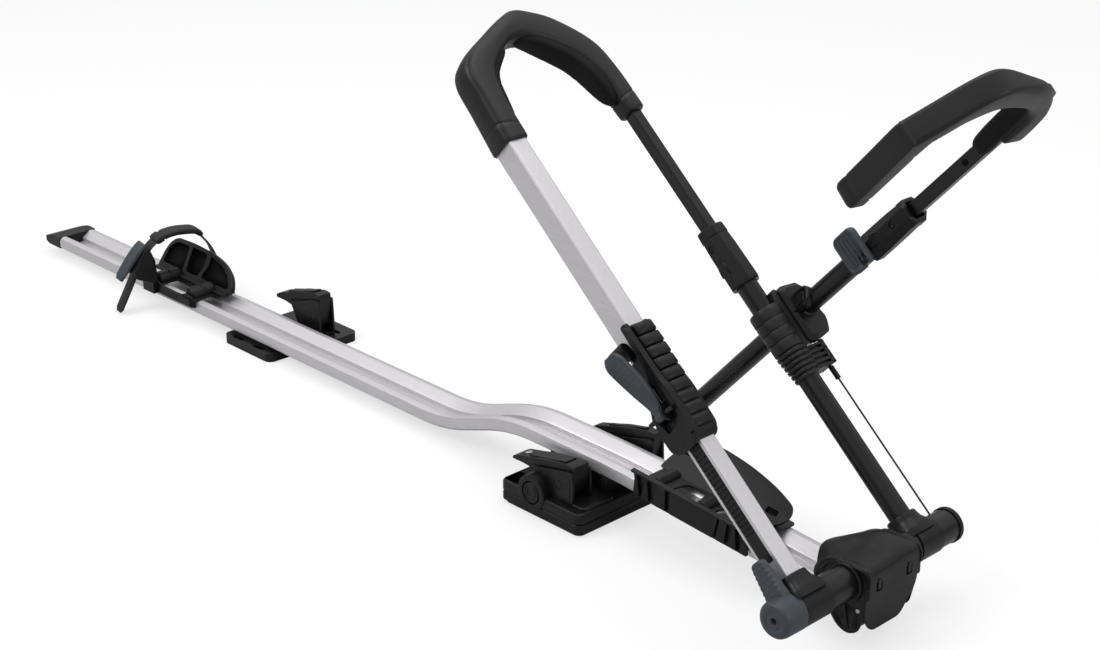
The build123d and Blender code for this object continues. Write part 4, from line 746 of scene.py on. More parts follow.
rings = []
middle = hubLook["buttonAt"]
for rise, shrink in hubLook["buttonSteps"]:
    share = 1 - shrink / 15
    rings.append([tubeSide(middle + (s - middle) * share, a * share, rise) for s, a in buttonOutline])
button = loft("hubButton", rings)
face = prism("buttonFace", roundRect(19, 16, 3, 4), lambda s, a, r: tubeSide(middle + s, a, r), 14.8, 16.4)
face = soften(face, 0.7, 2)
hub = joined("hookHub", [hubBlock, hubPlate, collar, button, face])
dress(hub, blackPlastic, "hook_arm", "hook_hub")

# Clamp sockets where the square rods leave the round tubes: an eight-sided shell with a screw and a raised arc
# Steps are (share of the length, growth, corner)
socketSteps = [(0, -1.6, 13), (0.02, -0.3, 13), (0.04, 0, 13), (0.30, 0.5, 12), (0.62, 0.8, 10), (0.80, 0.6, 9),
               (0.835, 0.4, 9), (0.84, 1.3, 9), (0.975, 1.5, 9), (0.99, 0.8, 9), (1, -0.6, 9)]


def eightSided(width, depth, cut):
    w, d = width / 2, depth / 2
    half = [(w, d - cut), (w - cut, d), (0, d), (cut - w, d), (-w, d - cut), (-w, 0)]
    return half + [(-x, -y) for x, y in half]


def socketPiece(name, at, look):
    side, start, end, foot, top = look["side"], look["start"], look["end"], look["foot"], look["top"]

    def sectionAt(s):
        share = (s - start) / (end - start)
        return [foot[i] + (top[i] - foot[i]) * share for i in (0, 1)]

    def squareHole(name, spare, radius, low):
        outline = roundRect(*[size + spare for size in look["rod"]], radius, 3)
        return loft(name, [[at(z, side + x, y) for x, y in outline] for z in (low, end + 5)])

    rings = []
    for share, grow, cut in socketSteps:
        s = start + (end - start) * share
        width, depth = [size + 2 * grow for size in sectionAt(s)]
        rings.append([at(s, side + x, y) for x, y in eightSided(width, depth, cut)])
    socket = loft(name, rings)
    bore = [(start - 5, look["bore"]), (look["boreEnd"], look["bore"])]
    carve(socket, spun("roundBore", bore, lambda x, y, z: at(z, side + x, y), 48),
          squareHole("squareBore", 5, 3, end - 9), squareHole("rodBore", 0.6, 2, look["boreEnd"] - 4))
    screw = start + (end - start) * 0.68
    face = side - sectionAt(screw)[0] / 2 - 0.7

    def screwAt(x, y, z):
        return at(screw + x, z, y)

    carve(socket, spun("screwHole", [(face - 2, 4.4), (face + 2.4, 4.4)], screwAt, 24))
    soften(socket, 1.3, 3, 20)
    profile = [(face + 3, 3.6), (face + 0.9, 3.6), (face + 0.6, 3.0), (face + 0.6, 1.6), (face + 1.8, 1.4)]
    head = spun("socketScrew", profile, screwAt, 28)
    middle, reach = start + (end - start) * 0.24, (end - start) * 0.22
    edge = []
    for i in range(25):
        a = pi * i / 24
        s, n = middle + reach * sin(a) ** 0.6, 7.5 * cos(a)
        y = side - sectionAt(s)[0] / 2 - 0.15
        edge.append([at(s, y + 0.9 * cos(b * pi / 3), n + 0.9 * sin(b * pi / 3)) for b in range(6)])
    return joined(name, [socket, loft("socketArc", edge), head])


legSocket = socketPiece("legSocket", legAt, {
    "side": blackLegSide, "start": 372, "end": 458, "foot": (42, 38), "top": (32, 29), "bore": 14.1,
    "boreEnd": 392, "rod": (16, 17)})
dress(legSocket, blackPlastic, "hoop", "leg_socket")
hookSocket = socketPiece("hookSocket", hookAt, {
    "side": hookSide, "start": 160, "end": 246, "foot": (38, 36), "top": (32, 30), "bore": 13.1, "boreEnd": 182,
    "rod": (14, 17)})
lockLug = prism("lockLug", roundOutline(corners(160, -17, 170, -7), 2, 3), sideways(hookAt), 99, 112)
dress(joined("hookSocket", [hookSocket, soften(lockLug, 0.8, 2)]), blackPlastic, "hook_arm", "hook_socket")

# Blue-grey lock lever beside the hook socket: a lined paddle; its steps are (side, inset)
lockLook = {"at": 156, "over": 6, "size": (38, 51), "corner": 9, "ribs": 4, "ribStart": 147.2, "ribStep": 5.9,
            "ribSize": (2.2, 37), "steps": [(99.6, 6.0), (99.6, 4.2), (98.4, 3.4), (98.6, 2.0), (99.8, 0.6),
                                            (101.4, 0), (106.2, 0), (107.6, 1.2), (108, 2.4)]}
paddleWide, paddleHigh = lockLook["size"]
paddleOutline = roundRect(paddleWide, paddleHigh, lockLook["corner"], 7)
rings = []
for depth, inset in lockLook["steps"]:
    wide, high = 1 - inset / (paddleWide / 2), 1 - inset / (paddleHigh / 2)
    rings.append([hookAt(lockLook["at"] + x * wide, depth, lockLook["over"] + y * high)
                  for x, y in paddleOutline])
paddle = loft("lockPaddle", rings)
ribs = []
for i in range(lockLook["ribs"]):
    ribAt = lockLook["ribStart"] + i * lockLook["ribStep"]
    rib = prism("paddleRib", roundRect(*lockLook["ribSize"], 0.9, 3),
                lambda x, w, y: hookAt(ribAt + x, y, 6.5 + w), 98.7, 100.6)
    ribs.append(soften(rib, 0.4, 2))
paddle = carve(paddle, prism("lugSlot", corners(159.4, -24, 170.6, -4.5), sideways(hookAt), 98.4, 115))
dress(joined("lockPaddle", [paddle, *ribs]), greyPlastic, "hook_lever", "hook_lock_lever")
print("collar, hub and sockets made")

# Release knob on the cross tube's end, and its ribbed lever along the leg
knobLook = {
    "profile": [(-141.4, 12.0), (-141.4, 22.4), (-142.2, 23.0), (-168, 22.6), (-172.5, 21.6), (-175.2, 19.4),
                (-176, 17.0), (-176, 12.6), (-175.0, 11.8), (-174.6, 8.8), (-175.2, 8.2), (-175.2, 4.4),
                (-173.5, 3.7), (-168, 3.5)],
    "leverStart": 10, "leverStep": 1.56, "leverBack": -142.2, "leverHalf": 16.5, "leverThick": 15.5,
    "groove": 0.55}
knob = spun("releaseKnob", knobLook["profile"], tubeAt, 72)
rings = []
for i in range(37):
    u = knobLook["leverStart"] + i * knobLook["leverStep"]
    half = knobLook["leverHalf"] - 5.6 * (i / 36) ** 1.1 - (3.5 * ((i - 32) / 4) ** 2 if i > 32 else 0)
    rib = knobLook["groove"] if i > 9 and i % 4 == 0 else 0
    thick = knobLook["leverThick"] - 5 * i / 36 - rib
    section = roundRect(thick, 2 * (half - rib), 4.2, 5)
    rings.append([legAt(u, knobLook["leverBack"] - thick / 2 + y, x) for y, x in section])
knobLever = loft("knobLever", rings)
knob = joined("releaseKnob", [knob, knobLever])
dress(soften(knob, 0.4, 2, 50), greyPlastic, "release_lever", "release_lever")

# Saddles that carry both legs on the cross tube: a flared stub on a sleeve
# Steps are (up the leg, growth); saddles are (side, half of the sleeve, width, depth, corner)
saddleSteps = [(6, 7), (14, 6.2), (19, 4.2), (24, 1.6), (29, 0.5), (33.4, 0), (34.8, -0.7), (35.4, -1.8)]
saddles = {("silverLegSaddle", "silver_leg_socket"): (silverLegSide, 30, 36, 41, 9),
           ("blackLegSaddle", "black_leg_socket"): (blackLegSide, 27, 38, 38, 18)}
for (name, node), (side, half, width, depth, corner) in saddles.items():
    rings = []
    for u, grow in saddleSteps:
        section = roundRect(width + 2 * grow, depth + 2 * grow, corner, 6)
        rings.append([legAt(u, side + x, y) for x, y in section])
    stub = loft("stub", rings)
    carve(stub, spun("crossBore", [(-200, 21.02), (200, 21.02)], tubeAt, 64))
    if side < 0:
        section = roundRect(24.2, 30.2, 2, 3)
        tool = loft("legHole", [[legAt(u, side + x, y) for x, y in section] for u in (25, 60)])
    else:
        tool = spun("legHole", [(25, 14.1), (60, 14.1)], turned(legAt, blackLegSide), 48)
    carve(stub, tool)
    near, far = side - half + 11, side + half - 3
    sleeve = spun("sleeve", [(near, 21.03), (near, 22.6), (far, 22.6), (far + 1, 21.03)], tubeAt, 72)
    dress(soften(joined(name, [stub, sleeve]), 0.8, 2, 35), blackPlastic, "hoop", node)

# Housing over the cross tube: a draped shell, a front cover with latch tongues, and side cheeks.
# A ring is an outer line and the same line moved in by the wall
def shellRing(y, points, wall):
    line = smoothLine(points, 44)
    inside = [p - leftOf(line, i) * wall for i, p in enumerate(line)]
    return [tubeAt(p.x, p.y, y) for p in line] + [tubeAt(p.x, p.y, y) for p in reversed(inside)]


shellLook = {"wall": 2.6, "front": 33.5, "latches": (-30, 26), "lip": 1.5, "stations": [
    # y, tail reach, tail height, hump height, front corner height
    (-49.5, -44, 1, 22.6, 23.0), (-47.5, -47, 3, 24.6, 25.0), (-44.5, -49, 4, 25.4, 25.8),
    (-41, -50, 4, 24.4, 24.8),
    (-36, -52, 8, 24.6, 25.0), (-22, -60, 16, 25.0, 25.2), (-8, -60, 17, 26.6, 26.0), (6, -56, 15, 30.6, 27.4),
    (20, -50, 12, 32.6, 28.0), (32, -48, 10, 31.8, 27.6),
    (40, -46, 8, 28.6, 26.6), (45, -44, 6, 25.6, 25.4), (47.6, -42, 4, 24.6, 24.6), (49.4, -40, 2, 22.8, 23.2)]}
stationRows = smoothLine([Vector(row) for row in shellLook["stations"]], 60)
rings = []
for row in stationRows:
    y, reach, tail, hump, front = row
    face = shellLook["front"] - (1.6 if y < -48 or y > 48 else 0)
    outline = [(reach, tail - 10), (reach + 2, tail - 2), (reach + 8, tail + 4),
               (reach * 0.62, (tail + 7 + hump) * 0.52), (-18, hump - 1.2), (-4, hump),
               (12, (hump + front) / 2 + 0.4), (face - 9, front - 0.4), (face - 2, front - 4.6),
               (face, front - 11), (face + 0.8, -6), (face + 0.4, -12)]
    rings.append(shellRing(y, outline, shellLook["wall"]))
shell = loft("housingShell", rings)
tongues = []
latchLine = [(-5.4, -3), (-5.4, -15), (5.4, -15), (5.4, -3), (3.4, -3), (3.4, -11), (-3.4, -11), (-3.4, -3)]
for y in shellLook["latches"]:
    slot = roundOutline([(y + side, z) for side, z in latchLine], 0.8, 2)
    tongues.append(prism("tongueSlot", slot, lambda side, z, x: tubeAt(x, z + 10, side), 20, 50))
shell = carve(shell, *tongues)
shell = soften(shell, 0.9, 2, 40)
lip = []
for row in (stationRows[2], stationRows[57]):
    y, reach, tail, hump, front = row
    line = smoothLine([(reach + 2, tail - 6), (reach + 8, tail + 4.6),
                       (reach * 0.62, (tail + 7.6 + hump) * 0.52), (-18, hump - 0.6), (-4, hump + 0.5),
                       (24, front + 0.2), (33, front - 6), (34.2, 4)], 60)
    section = [(shellLook["lip"] * cos(a * pi / 4), shellLook["lip"] * sin(a * pi / 4)) for a in range(8)]
    lip.append(loft("shellLip", [[tubeAt(p.x + c, p.y + s * 0.6, y + s) for c, s in section] for p in line]))
dress(joined("housingShell", [shell, *lip]), blackPlastic, "carrier_rail", "housing_shell")

# Front cover: a leaning trapezoid under the shell, bent forward from a line near its top
coverLook = {"depth": (27.4, 32.4), "bendAt": -4, "lean": 0.12, "latch": (5.6, 13), "latchDepth": (31, 34.9)}
coverOutline = roundOutline([(-48.5, 10), (48.5, 10), (48.5, -28), (27, -64), (-27, -64), (-48.5, -36)],
                            [2, 2, 8, 9, 9, 10], 6)


def coverAt(side, z, x):
    lean = -coverLook["lean"] * max(0.0, coverLook["bendAt"] - z)
    return tubeAt(x + lean, z, side)


cover = prism("frontCover", coverOutline, coverAt, *coverLook["depth"])
bent = bmesh.new()
bent.from_mesh(cover.data)
bmesh.ops.bisect_plane(bent, geom=bent.verts[:] + bent.edges[:] + bent.faces[:],
                       plane_co=tubeAt(0, coverLook["bendAt"], 0), plane_no=(0, 0, 1))
bent.to_mesh(cover.data)
bent.free()
soften(cover, 1.6, 3, 30)
coverParts = [cover]
for y in shellLook["latches"]:
    latch = prism("latchTongue", roundRect(*coverLook["latch"], 1.2, 3),
                  lambda side, z, x: tubeAt(x, z + 4, side + y), *coverLook["latchDepth"])
    coverParts.append(soften(latch, 0.6, 2))
dress(joined("frontCover", coverParts), blackPlastic, "carrier_rail", "front_cover")

# Base and cheeks under the shell, with an opening round the tube on each side
cheekOutline = roundOutline([(-40, 14), (-14, 21.5), (14, 23.5), (29, 20), (28, -30), (22, -58), (6, -66),
                             (-10, -60), (-24, -42), (-44, -14)], [6, 8, 8, 5, 6, 8, 8, 8, 8, 8], 5)
cheeks = []
for low, high in ((-48.8, -45.8), (45.8, 48.6)):
    cheek = prism("cheek", cheekOutline, tubeAt, low, high)
    cheek = carve(cheek, spun("tubeBore", [(-60, 21.5), (60, 21.5)], tubeAt, 64))
    cheeks.append(soften(cheek, 1.0, 2))
hollowOutline = roundOutline([(-34, -26), (-12, -24), (14, -27), (24, -30), (20, -54), (4, -60), (-10, -54),
                              (-24, -38)], 6, 4)
cheeks[0] = carve(cheeks[0], prism("hollow", hollowOutline, tubeAt, -51, -47.2))
web = prism("cheekWeb", roundOutline([(-4, -24), (0, -24), (8, -60), (3, -60)], 1, 2), tubeAt, -48.8, -46.6)
cheeks.append(soften(web, 0.7, 2))
ring = spun("tubeRing", [(-52.4, 21.6), (-52.4, 23.4), (-51.6, 24.4), (-48.2, 24.6), (-48.2, 21.6)], tubeAt, 72)
cheeks.append(ring)
coreOutline = roundOutline([(-44, -10), (-30, 14), (28, 16), (27, -34), (18, -58), (-4, -60), (-30, -36)], 8, 4)
core = prism("housingCore", coreOutline, tubeAt, -45.9, 45.9)
railGap = prism("railGap", corners(-36.2, -10.3, 36.2, 10.3),
                lambda y, z, x: frameAt(x, y, railLevel(x) + z), 380, 440.5)
core = carve(core, railGap, spun("coreBore", [(-60, 21.4), (60, 21.4)], tubeAt, 64))
core = joined("housingBase", [soften(core, 1.0, 2), *cheeks])
dress(core, blackPlastic, "carrier_rail", "housing_base")
lockBarrel = spun("lockBarrel", [(-46.8, 3.0), (-49.2, 2.9), (-49.6, 2.4), (-49.4, 1.6), (-49.0, 0.4)],
                  lambda x, y, z: tubeAt(20 + x, -30 + y, z), 32)
dress(lockBarrel, plainSteel, "carrier_rail")
print("housing made")

# Front foot: a base and a cover with a shadow line between, an arch over the knob and a step under a clamp
footLook = {"length": 149, "width": 180, "sideShift": -6, "corner": 10, "base": (4, 17.2), "cover": (17.6, 33),
            "knobAt": (-14, 34)}


def footRings(low, high):
    rings = []
    for z, shrink in ((low, 0.8), (low + 1.2, 0), (high - 3.2, 0), (high - 1.2, 0.9), (high, 2.8)):
        rings.append([frameAt(x * (1 - shrink / 75), y * (1 - shrink / 90) + footLook["sideShift"], z)
                      for x, y in roundRect(footLook["length"], footLook["width"], footLook["corner"], 7)])
    return rings


def knobAt(x, y, z):
    return frameAt(footLook["knobAt"][0] + x, z, footLook["knobAt"][1] + y)


footBase = dress(loft("footBase", footRings(*footLook["base"])), blackPlastic, "carrier_rail", "foot_base")
soften(footBase, 0.5, 2, 40)
footCover = loft("footCover", footRings(*footLook["cover"]))
arch = spun("knobArch", [(-97.2, 17.2), (-97.7, 22.4), (-96.8, 24.2), (-70, 24.4), (-60, 23), (-57, 19)],
            knobAt, 64)
archCut = prism("archCut", corners(-60, -20, 40, 17.4), sideways(frameAt), -110, -60)
arch = carve(arch, archCut, spun("knobRecess", [(-110, 16.2), (-88, 16.2)], knobAt, 48))
recess = spun("coverRecess", [(-110, 15.5), (-87.2, 15.5)], knobAt, 48)
rearPocket = prism("rearPocket", roundOutline(corners(-70.5, -92, -42, -62), 4, 4), frameAt, 21, 40)
footCover = carve(footCover, recess, rearPocket)
step = prism("footStep", roundRect(52, 58, 8, 5), lambda x, y, z: frameAt(46 + x, -56 + y, z), 32, 37.5)
soften(step, 2.2, 3)
footCover = joined("footCover", [soften(footCover, 0.8, 2, 40), soften(arch, 0.9, 2, 40), step])
dress(footCover, blackPlastic, "carrier_rail", "foot_cover")
knobFace = [(-87.4, 2.9), (-87.4, 14.8), (-95.6, 14.8), (-97.4, 13.6), (-97.8, 12.2), (-97.2, 11.0),
            (-96.6, 10.4), (-96.6, 9.2), (-97.4, 8.6), (-97.4, 6.8), (-96.4, 6.2), (-96.2, 0.4)]
footKnob = spun("footKnob", knobFace, knobAt, 56)
shaft = spun("knobShaft", [(-87.5, 3.0), (-82.5, 3.0)], knobAt, 24)
dress(soften(joined("footKnob", [footKnob, shaft]), 0.3, 2, 50), blackPlastic, "foot_knob", "foot_knob")

# Cam clamps, near, far and rear. Outlines run along x, with heights as shares of the clamp's own
clampLook = {"rearward": 58.5, "cheek": 4.3, "pinAt": (92.43, 0.45), "eye": 3.15, "panelDepth": 1.6}
clamps = {"near": (-8.5, -67.5, 35, 55, 33), "far": (11.5, 53, 22, 68, 33),
          "rear": (-714, 65, 30, 72, 14)}   # x, y, width, height, foot


def clampPieces(name, middle, y, width, height, foot):
    left = middle - clampLook["rearward"]
    half = width / 2 - clampLook["cheek"]
    pinX, pinShare = clampLook["pinAt"]
    eye = clampLook["eye"]

    def put(x, z, side):
        return frameAt(left + x, y + side, foot + z * height)

    def pinAt(x, z, side):
        return frameAt(left + pinX + x, y + side, foot + pinShare * height + z)

    leverOutline = roundOutline(
        [(1, 0.50), (2, 0.57), (9, 0.63), (36, 0.74), (60, 0.85), (104, 0.985), (116, 0.965), (117, 0.88),
         (115, 0.60), (110, 0.20), (80, 0.16), (68, 0.26), (54, 0.44), (24, 0.50)],
        [2, 3, 4, 8, 8, 8, 5, 5, 8, 8, 8, 6, 8, 5], 5)
    lever = prism(name + "Lever", leverOutline, put, -half, half)
    panel = roundOutline([(38, 0.60), (104, 0.84), (108, 0.74), (104, 0.64), (60, 0.56)], 4, 3)
    cuts = [prism("panel", panel, put, s * half, s * (half - clampLook["panelDepth"])) for s in (-1.02, 1.02)]
    eyeOutline = [(pinX + eye * cos(a * pi / 12), pinShare + eye / height * sin(a * pi / 12))
                  for a in range(24)]
    cuts.append(prism("eye", eyeOutline, put, -half - 2, half + 2))
    lever = carve(lever, *cuts)
    soften(lever, 1.5, 3, 30)
    ribOutline = roundOutline([(30, 0.70), (30, 0.745), (98, 1.0), (98, 0.94)], 1, 2)
    rib = prism(name + "Rib", ribOutline, put, -half + 4, half - 4)
    lever = joined(name + "Lever", [lever, soften(rib, 1.0, 2)])
    cheekOutline = roundOutline([(66, 0.0), (118, 0.0), (118.5, 0.40), (117, 0.84), (106, 0.84), (48, 0.60),
                                 (46, 0.50)], [1, 1, 4, 5, 8, 5, 4], 5)
    facing = roundOutline([(72, 0.12), (113, 0.12), (113, 0.70), (106, 0.74), (62, 0.55), (60, 0.48)],
                          [2, 2, 3, 4, 3, 3], 4)
    parts = []
    for s in (-1, 1):
        cheek = prism("cheek", cheekOutline, put, s * (half + 0.3), s * (half + 4.3))
        parts.append(soften(cheek, 1.1, 3))
        parts.append(soften(prism("cheekPanel", facing, put, s * (half + 4.2), s * (half + 4.8)), 0.5, 2))
        parts.append(spun("boss", [(half + 3.6, 8.0), (half + 5.0, 7.4), (half + 5.2, 4.6), (half + 4.6, 4.0),
                                   (half + 4.6, 0.4)], lambda x, z, side: pinAt(x, z, s * side), 32))
    parts.append(spun("pin", [(-half - 0.5, 3.0), (half + 0.5, 3.0)], pinAt, 24))
    floor = prism("floor", roundOutline(corners(62, 0, 118, 4 / height), 1, 2), put, -half - 4.2, half + 4.2)
    parts.append(soften(floor, 0.8, 2))
    yoke = joined(name + "Yoke", parts)
    return lever, yoke


for side, sizes in clamps.items():
    lever, yoke = clampPieces(side + "Clamp", *sizes)
    dress(lever, blackPlastic, side + "_clamp_lever", side + "_clamp_lever")
    dress(yoke, blackPlastic, "carrier_rail", side + "_clamp_yoke")
rivet = spun("clampRivet", [(-2, 5.2), (0.5, 5.2), (1.0, 4.9), (1.3, 4.0), (1.1, 2.2), (0.9, 0.4)],
             lambda x, y, z: frameAt(-48 + x, clamps["near"][1] + y, 70.6 + z + x * 0.22), 28)
dress(rivet, plainSteel, "near_clamp_lever")
print("foot and clamps made")

# Front tray's near flap: a panel, a bar along its top, ribs as (top from, top to, foot from, foot to)
# and a raised field
trayFlapLook = {
    "outline": [(-103, 17), (103, 17), (99, 6), (84, -17), (-84, -17), (-98, -2)], "panel": (-41.4, -39.3),
    "barSize": (7.6, 4.6), "barAt": (-42.6, 17.2), "field": [(-38, 14), (42, 14), (37, -15), (-36, -15)],
    "ribs": [(-96, -93, -97, -86), (-78, -75, -84, -70), (-58, -44, -64, -42), (46, 58, 42, 56),
             (68, 71, 66, 76), (86, 89, 80, 92)]}
panelOutline = roundOutline(trayFlapLook["outline"], [2, 2, 5, 5, 6, 8], 5)
flapPanel = prism("flapPanel", panelOutline, sideways(trayAt), *trayFlapLook["panel"])
soften(flapPanel, 1.0, 2)
flapParts = [flapPanel]
barSide, barUp = trayFlapLook["barAt"]
flapBar = prism("flapBar", roundRect(*trayFlapLook["barSize"], 2.0, 4),
                lambda y, z, x: trayAt(x, barSide + y, barUp + z), -103, 103)
flapParts.append(soften(flapBar, 0.6, 2, 40))
for topFrom, topTo, footFrom, footTo in trayFlapLook["ribs"]:
    rib = prism("flapRib", [(topFrom, 15.5), (topTo, 15.5), (footTo, -14), (footFrom, -14)], sideways(trayAt),
                -45.9, -41)
    flapParts.append(soften(rib, 0.9, 2))
flapField = prism("flapField", roundOutline(trayFlapLook["field"], 2, 3), sideways(trayAt), -44.6, -41)
flapParts.append(soften(flapField, 0.8, 2))
dress(joined("trayFlap", flapParts), blackPlastic, "carrier_rail", "tray_flap")

# Front tray's far wing, leaning outwards and bowed, with two slots whose darkness is painted shade on thin
# sheets at their floors
wingLook = {"lean": radians(53), "foot": 9.0, "base": 3.8, "thick": 3.6, "slots": [(-80, 34), (72, 17)]}
wingOutline = roundOutline(
    [(-103, 0), (-100, 16), (-87, 50), (-74, 59), (-40, 61), (10, 57), (60, 47), (92, 36), (98, 24), (94, 10),
     (82, 0)],
    [3, 8, 12, 14, 20, 30, 30, 14, 12, 10, 4], 6)


def wingAt(x, up, deep):
    bow = 0.0016 * x * x * (up / 60)
    y = wingLook["foot"] + up * sin(wingLook["lean"]) + deep * cos(wingLook["lean"]) - bow * 0.2
    z = wingLook["base"] + up * cos(wingLook["lean"]) - deep * sin(wingLook["lean"]) + bow * 0.1
    return trayAt(x, y, z)


def wingBlocks(name, half, high, low, top):
    outlines = [roundOutline(corners(cx - half, cy - high, cx + half, cy + high), 2, 3)
                for cx, cy in wingLook["slots"]]
    return [prism(name, outline, wingAt, low, top) for outline in outlines]


wing = prism("trayWing", wingOutline, wingAt, 0, wingLook["thick"])
slots = wingBlocks("wingSlot", 9, 4, -4, 2.0)
# Thin sheets of painted shade on the slots' floors
slotShadeSheets = wingBlocks("slotShadeSheet", 8.8, 3.8, 1.7, 2.2)
wing = carve(wing, *slots)
dress(soften(wing, 1.2, 3), blackPlastic, "carrier_rail", "tray_wing")
slotShadeSheet = dress(joined("wingSlotShade", slotShadeSheets), paintedShadeBlack, "carrier_rail")

# Front tray's deck with two windows, on three round bushes cut off at the deck
deckLook = {"thick": (0.35, 3.6), "windows": (-34, 36), "bushes": (-76, 0, 74)}
deck = prism("trayDeck", roundOutline(corners(-97, -39, 97, 39), 4, 3), trayAt, *deckLook["thick"])
for cx in deckLook["windows"]:
    windowOutline = roundOutline([(cx - 22, -30), (cx + 22, -30), (cx + 16, 6), (cx - 16, 6)], 9, 5)
    carve(deck, prism("deckWindow", windowOutline, trayAt, -3, 8))
soften(deck, 0.8, 2)
deckParts = [deck]
for cx in deckLook["bushes"]:
    bush = spun("trayBush", [(-26, 1), (-25, 7), (-23, 8.6), (8, 9), (10, 8.4)],
                lambda x, z, y: trayAt(cx + x, y, 2.6 + z), 40)
    bush = carve(bush, prism("bushCut", corners(cx - 30, -40, cx + 30, 20), trayAt, -30, 0.4))
    deckParts.append(soften(bush, 0.8, 2, 40))
dress(joined("trayDeck", deckParts), blackPlastic, "carrier_rail", "tray_base")
print("front tray made")

# Rear tray: a saddle over the rail with a window, two lobes across it and a block under the strap's far end
rearLook = {"saddle": (-1004, -868), "lobes": (-984, -888), "lobeRadius": 14.0, "lobeUp": 42.0,
            "lobeFoot": 38.2, "side": [(-40, 27.6), (-40, 41.4), (40, 41.4), (40, 27.6), (36.4, 27.6),
                                       (36.4, 37.9), (-36.4, 37.9), (-36.4, 27.6)]}
saddle = prism("rearSaddle", roundOutline(rearLook["side"], [1, 5, 5, 1, 1, 1, 1, 1], 4), endways(frameAt),
               *rearLook["saddle"])
window = prism("saddleWindow", roundOutline(corners(-968, -38.5, -904, -3), 7, 5), frameAt, 30, 50)
saddle = carve(saddle, window)
soften(saddle, 0.9, 2)
rearParts = [saddle]
radius = rearLook["lobeRadius"]
lobeProfile = [(-36, 2), (-35.4, radius * 0.55), (-33.4, radius * 0.82), (-30, radius * 0.96), (-26, radius),
               (4, radius * 1.02), (10, radius * 0.9), (13, radius * 0.6), (14, 1)]
bandProfile = [(-14, radius + 0.2), (-13.6, radius + 1.3), (-10.4, radius + 1.4), (-10, radius + 0.2)]


def cutLobe(name, profile, cx):
    lobe = spun(name, profile, lambda x, z, y: frameAt(cx + x, y, rearLook["lobeUp"] + z), 48)
    return carve(lobe, prism("lobeCut", corners(-1100, -60, -800, 60), frameAt, 0, rearLook["lobeFoot"]))


for cx in rearLook["lobes"]:
    rearParts.append(soften(cutLobe("rearLobe", lobeProfile, cx), 0.8, 2, 40))
    rearParts.append(cutLobe("lobeBand", bandProfile, cx))
anchorX = strapAt(125, 0, 0).x * 1000
anchorOutline = roundOutline(corners(anchorX - 20, 39, anchorX + 20, 77), 5, 4)
anchor = prism("strapAnchor", anchorOutline, frameAt, 27.6, 34.5)
rearParts.append(soften(anchor, 1.4, 3))
dress(joined("rearSaddle", rearParts), blackPlastic, "rear_tray", "rear_tray_saddle")

# Side plate of the rear tray: two raised fields and a rib that sweeps round its rear end
sidePlateLook = {
    "outline": [(-1006, 27.8), (-868, 27.8), (-868, 47), (-884, 48.5), (-900, 43.5), (-960, 43.5), (-972, 50),
                (-994, 55), (-1006, 50)],
    "field": [(-966, 29.5), (-871, 29.5), (-871, 43), (-955, 43)], "smallField": (-917, 31, -874, 42),
    "rib": [(-1000, 30), (-990, 47), (-976, 52), (-968, 40), (-966, 30)], "ribRadius": 1.1, "face": -43.2}
plateOutline = roundOutline(sidePlateLook["outline"], [3, 3, 4, 5, 6, 5, 6, 6, 5], 4)
fieldOutline = roundOutline(sidePlateLook["field"], 2.5, 3)
smallOutline = roundOutline(corners(*sidePlateLook["smallField"]), 2, 3)
plateParts = [soften(prism("sidePlate", plateOutline, sideways(frameAt), sidePlateLook["face"], -40), 0.9, 2),
              soften(prism("plateField", fieldOutline, sideways(frameAt), -45.4, -43), 1.0, 2),
              soften(prism("smallField", smallOutline, sideways(frameAt), -46.0, -45), 0.6, 2)]
section = [(sidePlateLook["ribRadius"] * cos(a * pi / 4), sidePlateLook["ribRadius"] * sin(a * pi / 4))
           for a in range(8)]
plateParts.append(loft("plateRib", [[frameAt(p.x + c, sidePlateLook["face"] + s, p.y) for c, s in section]
                                    for p in smoothLine(sidePlateLook["rib"], 30)]))
dress(joined("sidePlate", plateParts), blackPlastic, "rear_tray", "rear_side_plate")

# Rear tray's far wing: a leaning plate with three pockets, each floored with a thin sheet of painted shade
rearWingLook = {
    "lean": radians(37), "at": (-935, 9, 41.8), "thick": (-4.6, 4.2),
    "pockets": [[(-98, 9), (-40, 9), (-50, 50), (-84, 49), (-98, 38)],
                [(-31, 9), (2, 9), (8, 30), (2, 49), (-42, 51)],
                [(11, 9), (84, 9), (88, 13), (74, 29), (50, 41), (12, 49), (17, 30)]]}
rearWingOutline = roundOutline(
    [(-106, 0), (-107, 26), (-103, 44), (-90, 56), (-40, 58), (20, 55), (56, 47), (84, 32), (98, 14), (96, 6),
     (86, 0)],
    [3, 12, 14, 12, 20, 20, 16, 14, 8, 4, 4], 6)


def rearWingAt(x, up, deep):
    lean = rearWingLook["lean"]
    x0, y0, z0 = rearWingLook["at"]
    return frameAt(x0 + x, y0 + up * sin(lean) + deep * cos(lean), z0 + up * cos(lean) - deep * sin(lean))


rearWing = prism("rearWing", rearWingOutline, rearWingAt, *rearWingLook["thick"])
# holes are the cut windows; pockets are thin sheets of painted shade on the windows' floors
holes, pockets = [], []
for points in rearWingLook["pockets"]:
    holes.append(prism("wingWindow", roundOutline(points, 6, 4), rearWingAt, -9, 2.4))
    pockets.append(prism("wingPocketShade", roundOutline(points, 6, 4), rearWingAt, 2.0, 2.6))
rearWing = carve(rearWing, *holes)
soften(rearWing, 1.4, 3)
footOutline = roundOutline([(-1042, 0), (-848, 0), (-842, 12), (-1040, 14)], 4, 3)
footBar = prism("wingFoot", footOutline, frameAt, 39.8, 45.5)
dress(joined("rearWing", [rearWing, soften(footBar, 1.4, 3)]), blackPlastic, "rear_tray", "rear_wing")
pocketShade = dress(joined("wingPocketShade", pockets), paintedShadeBlack, "rear_tray")
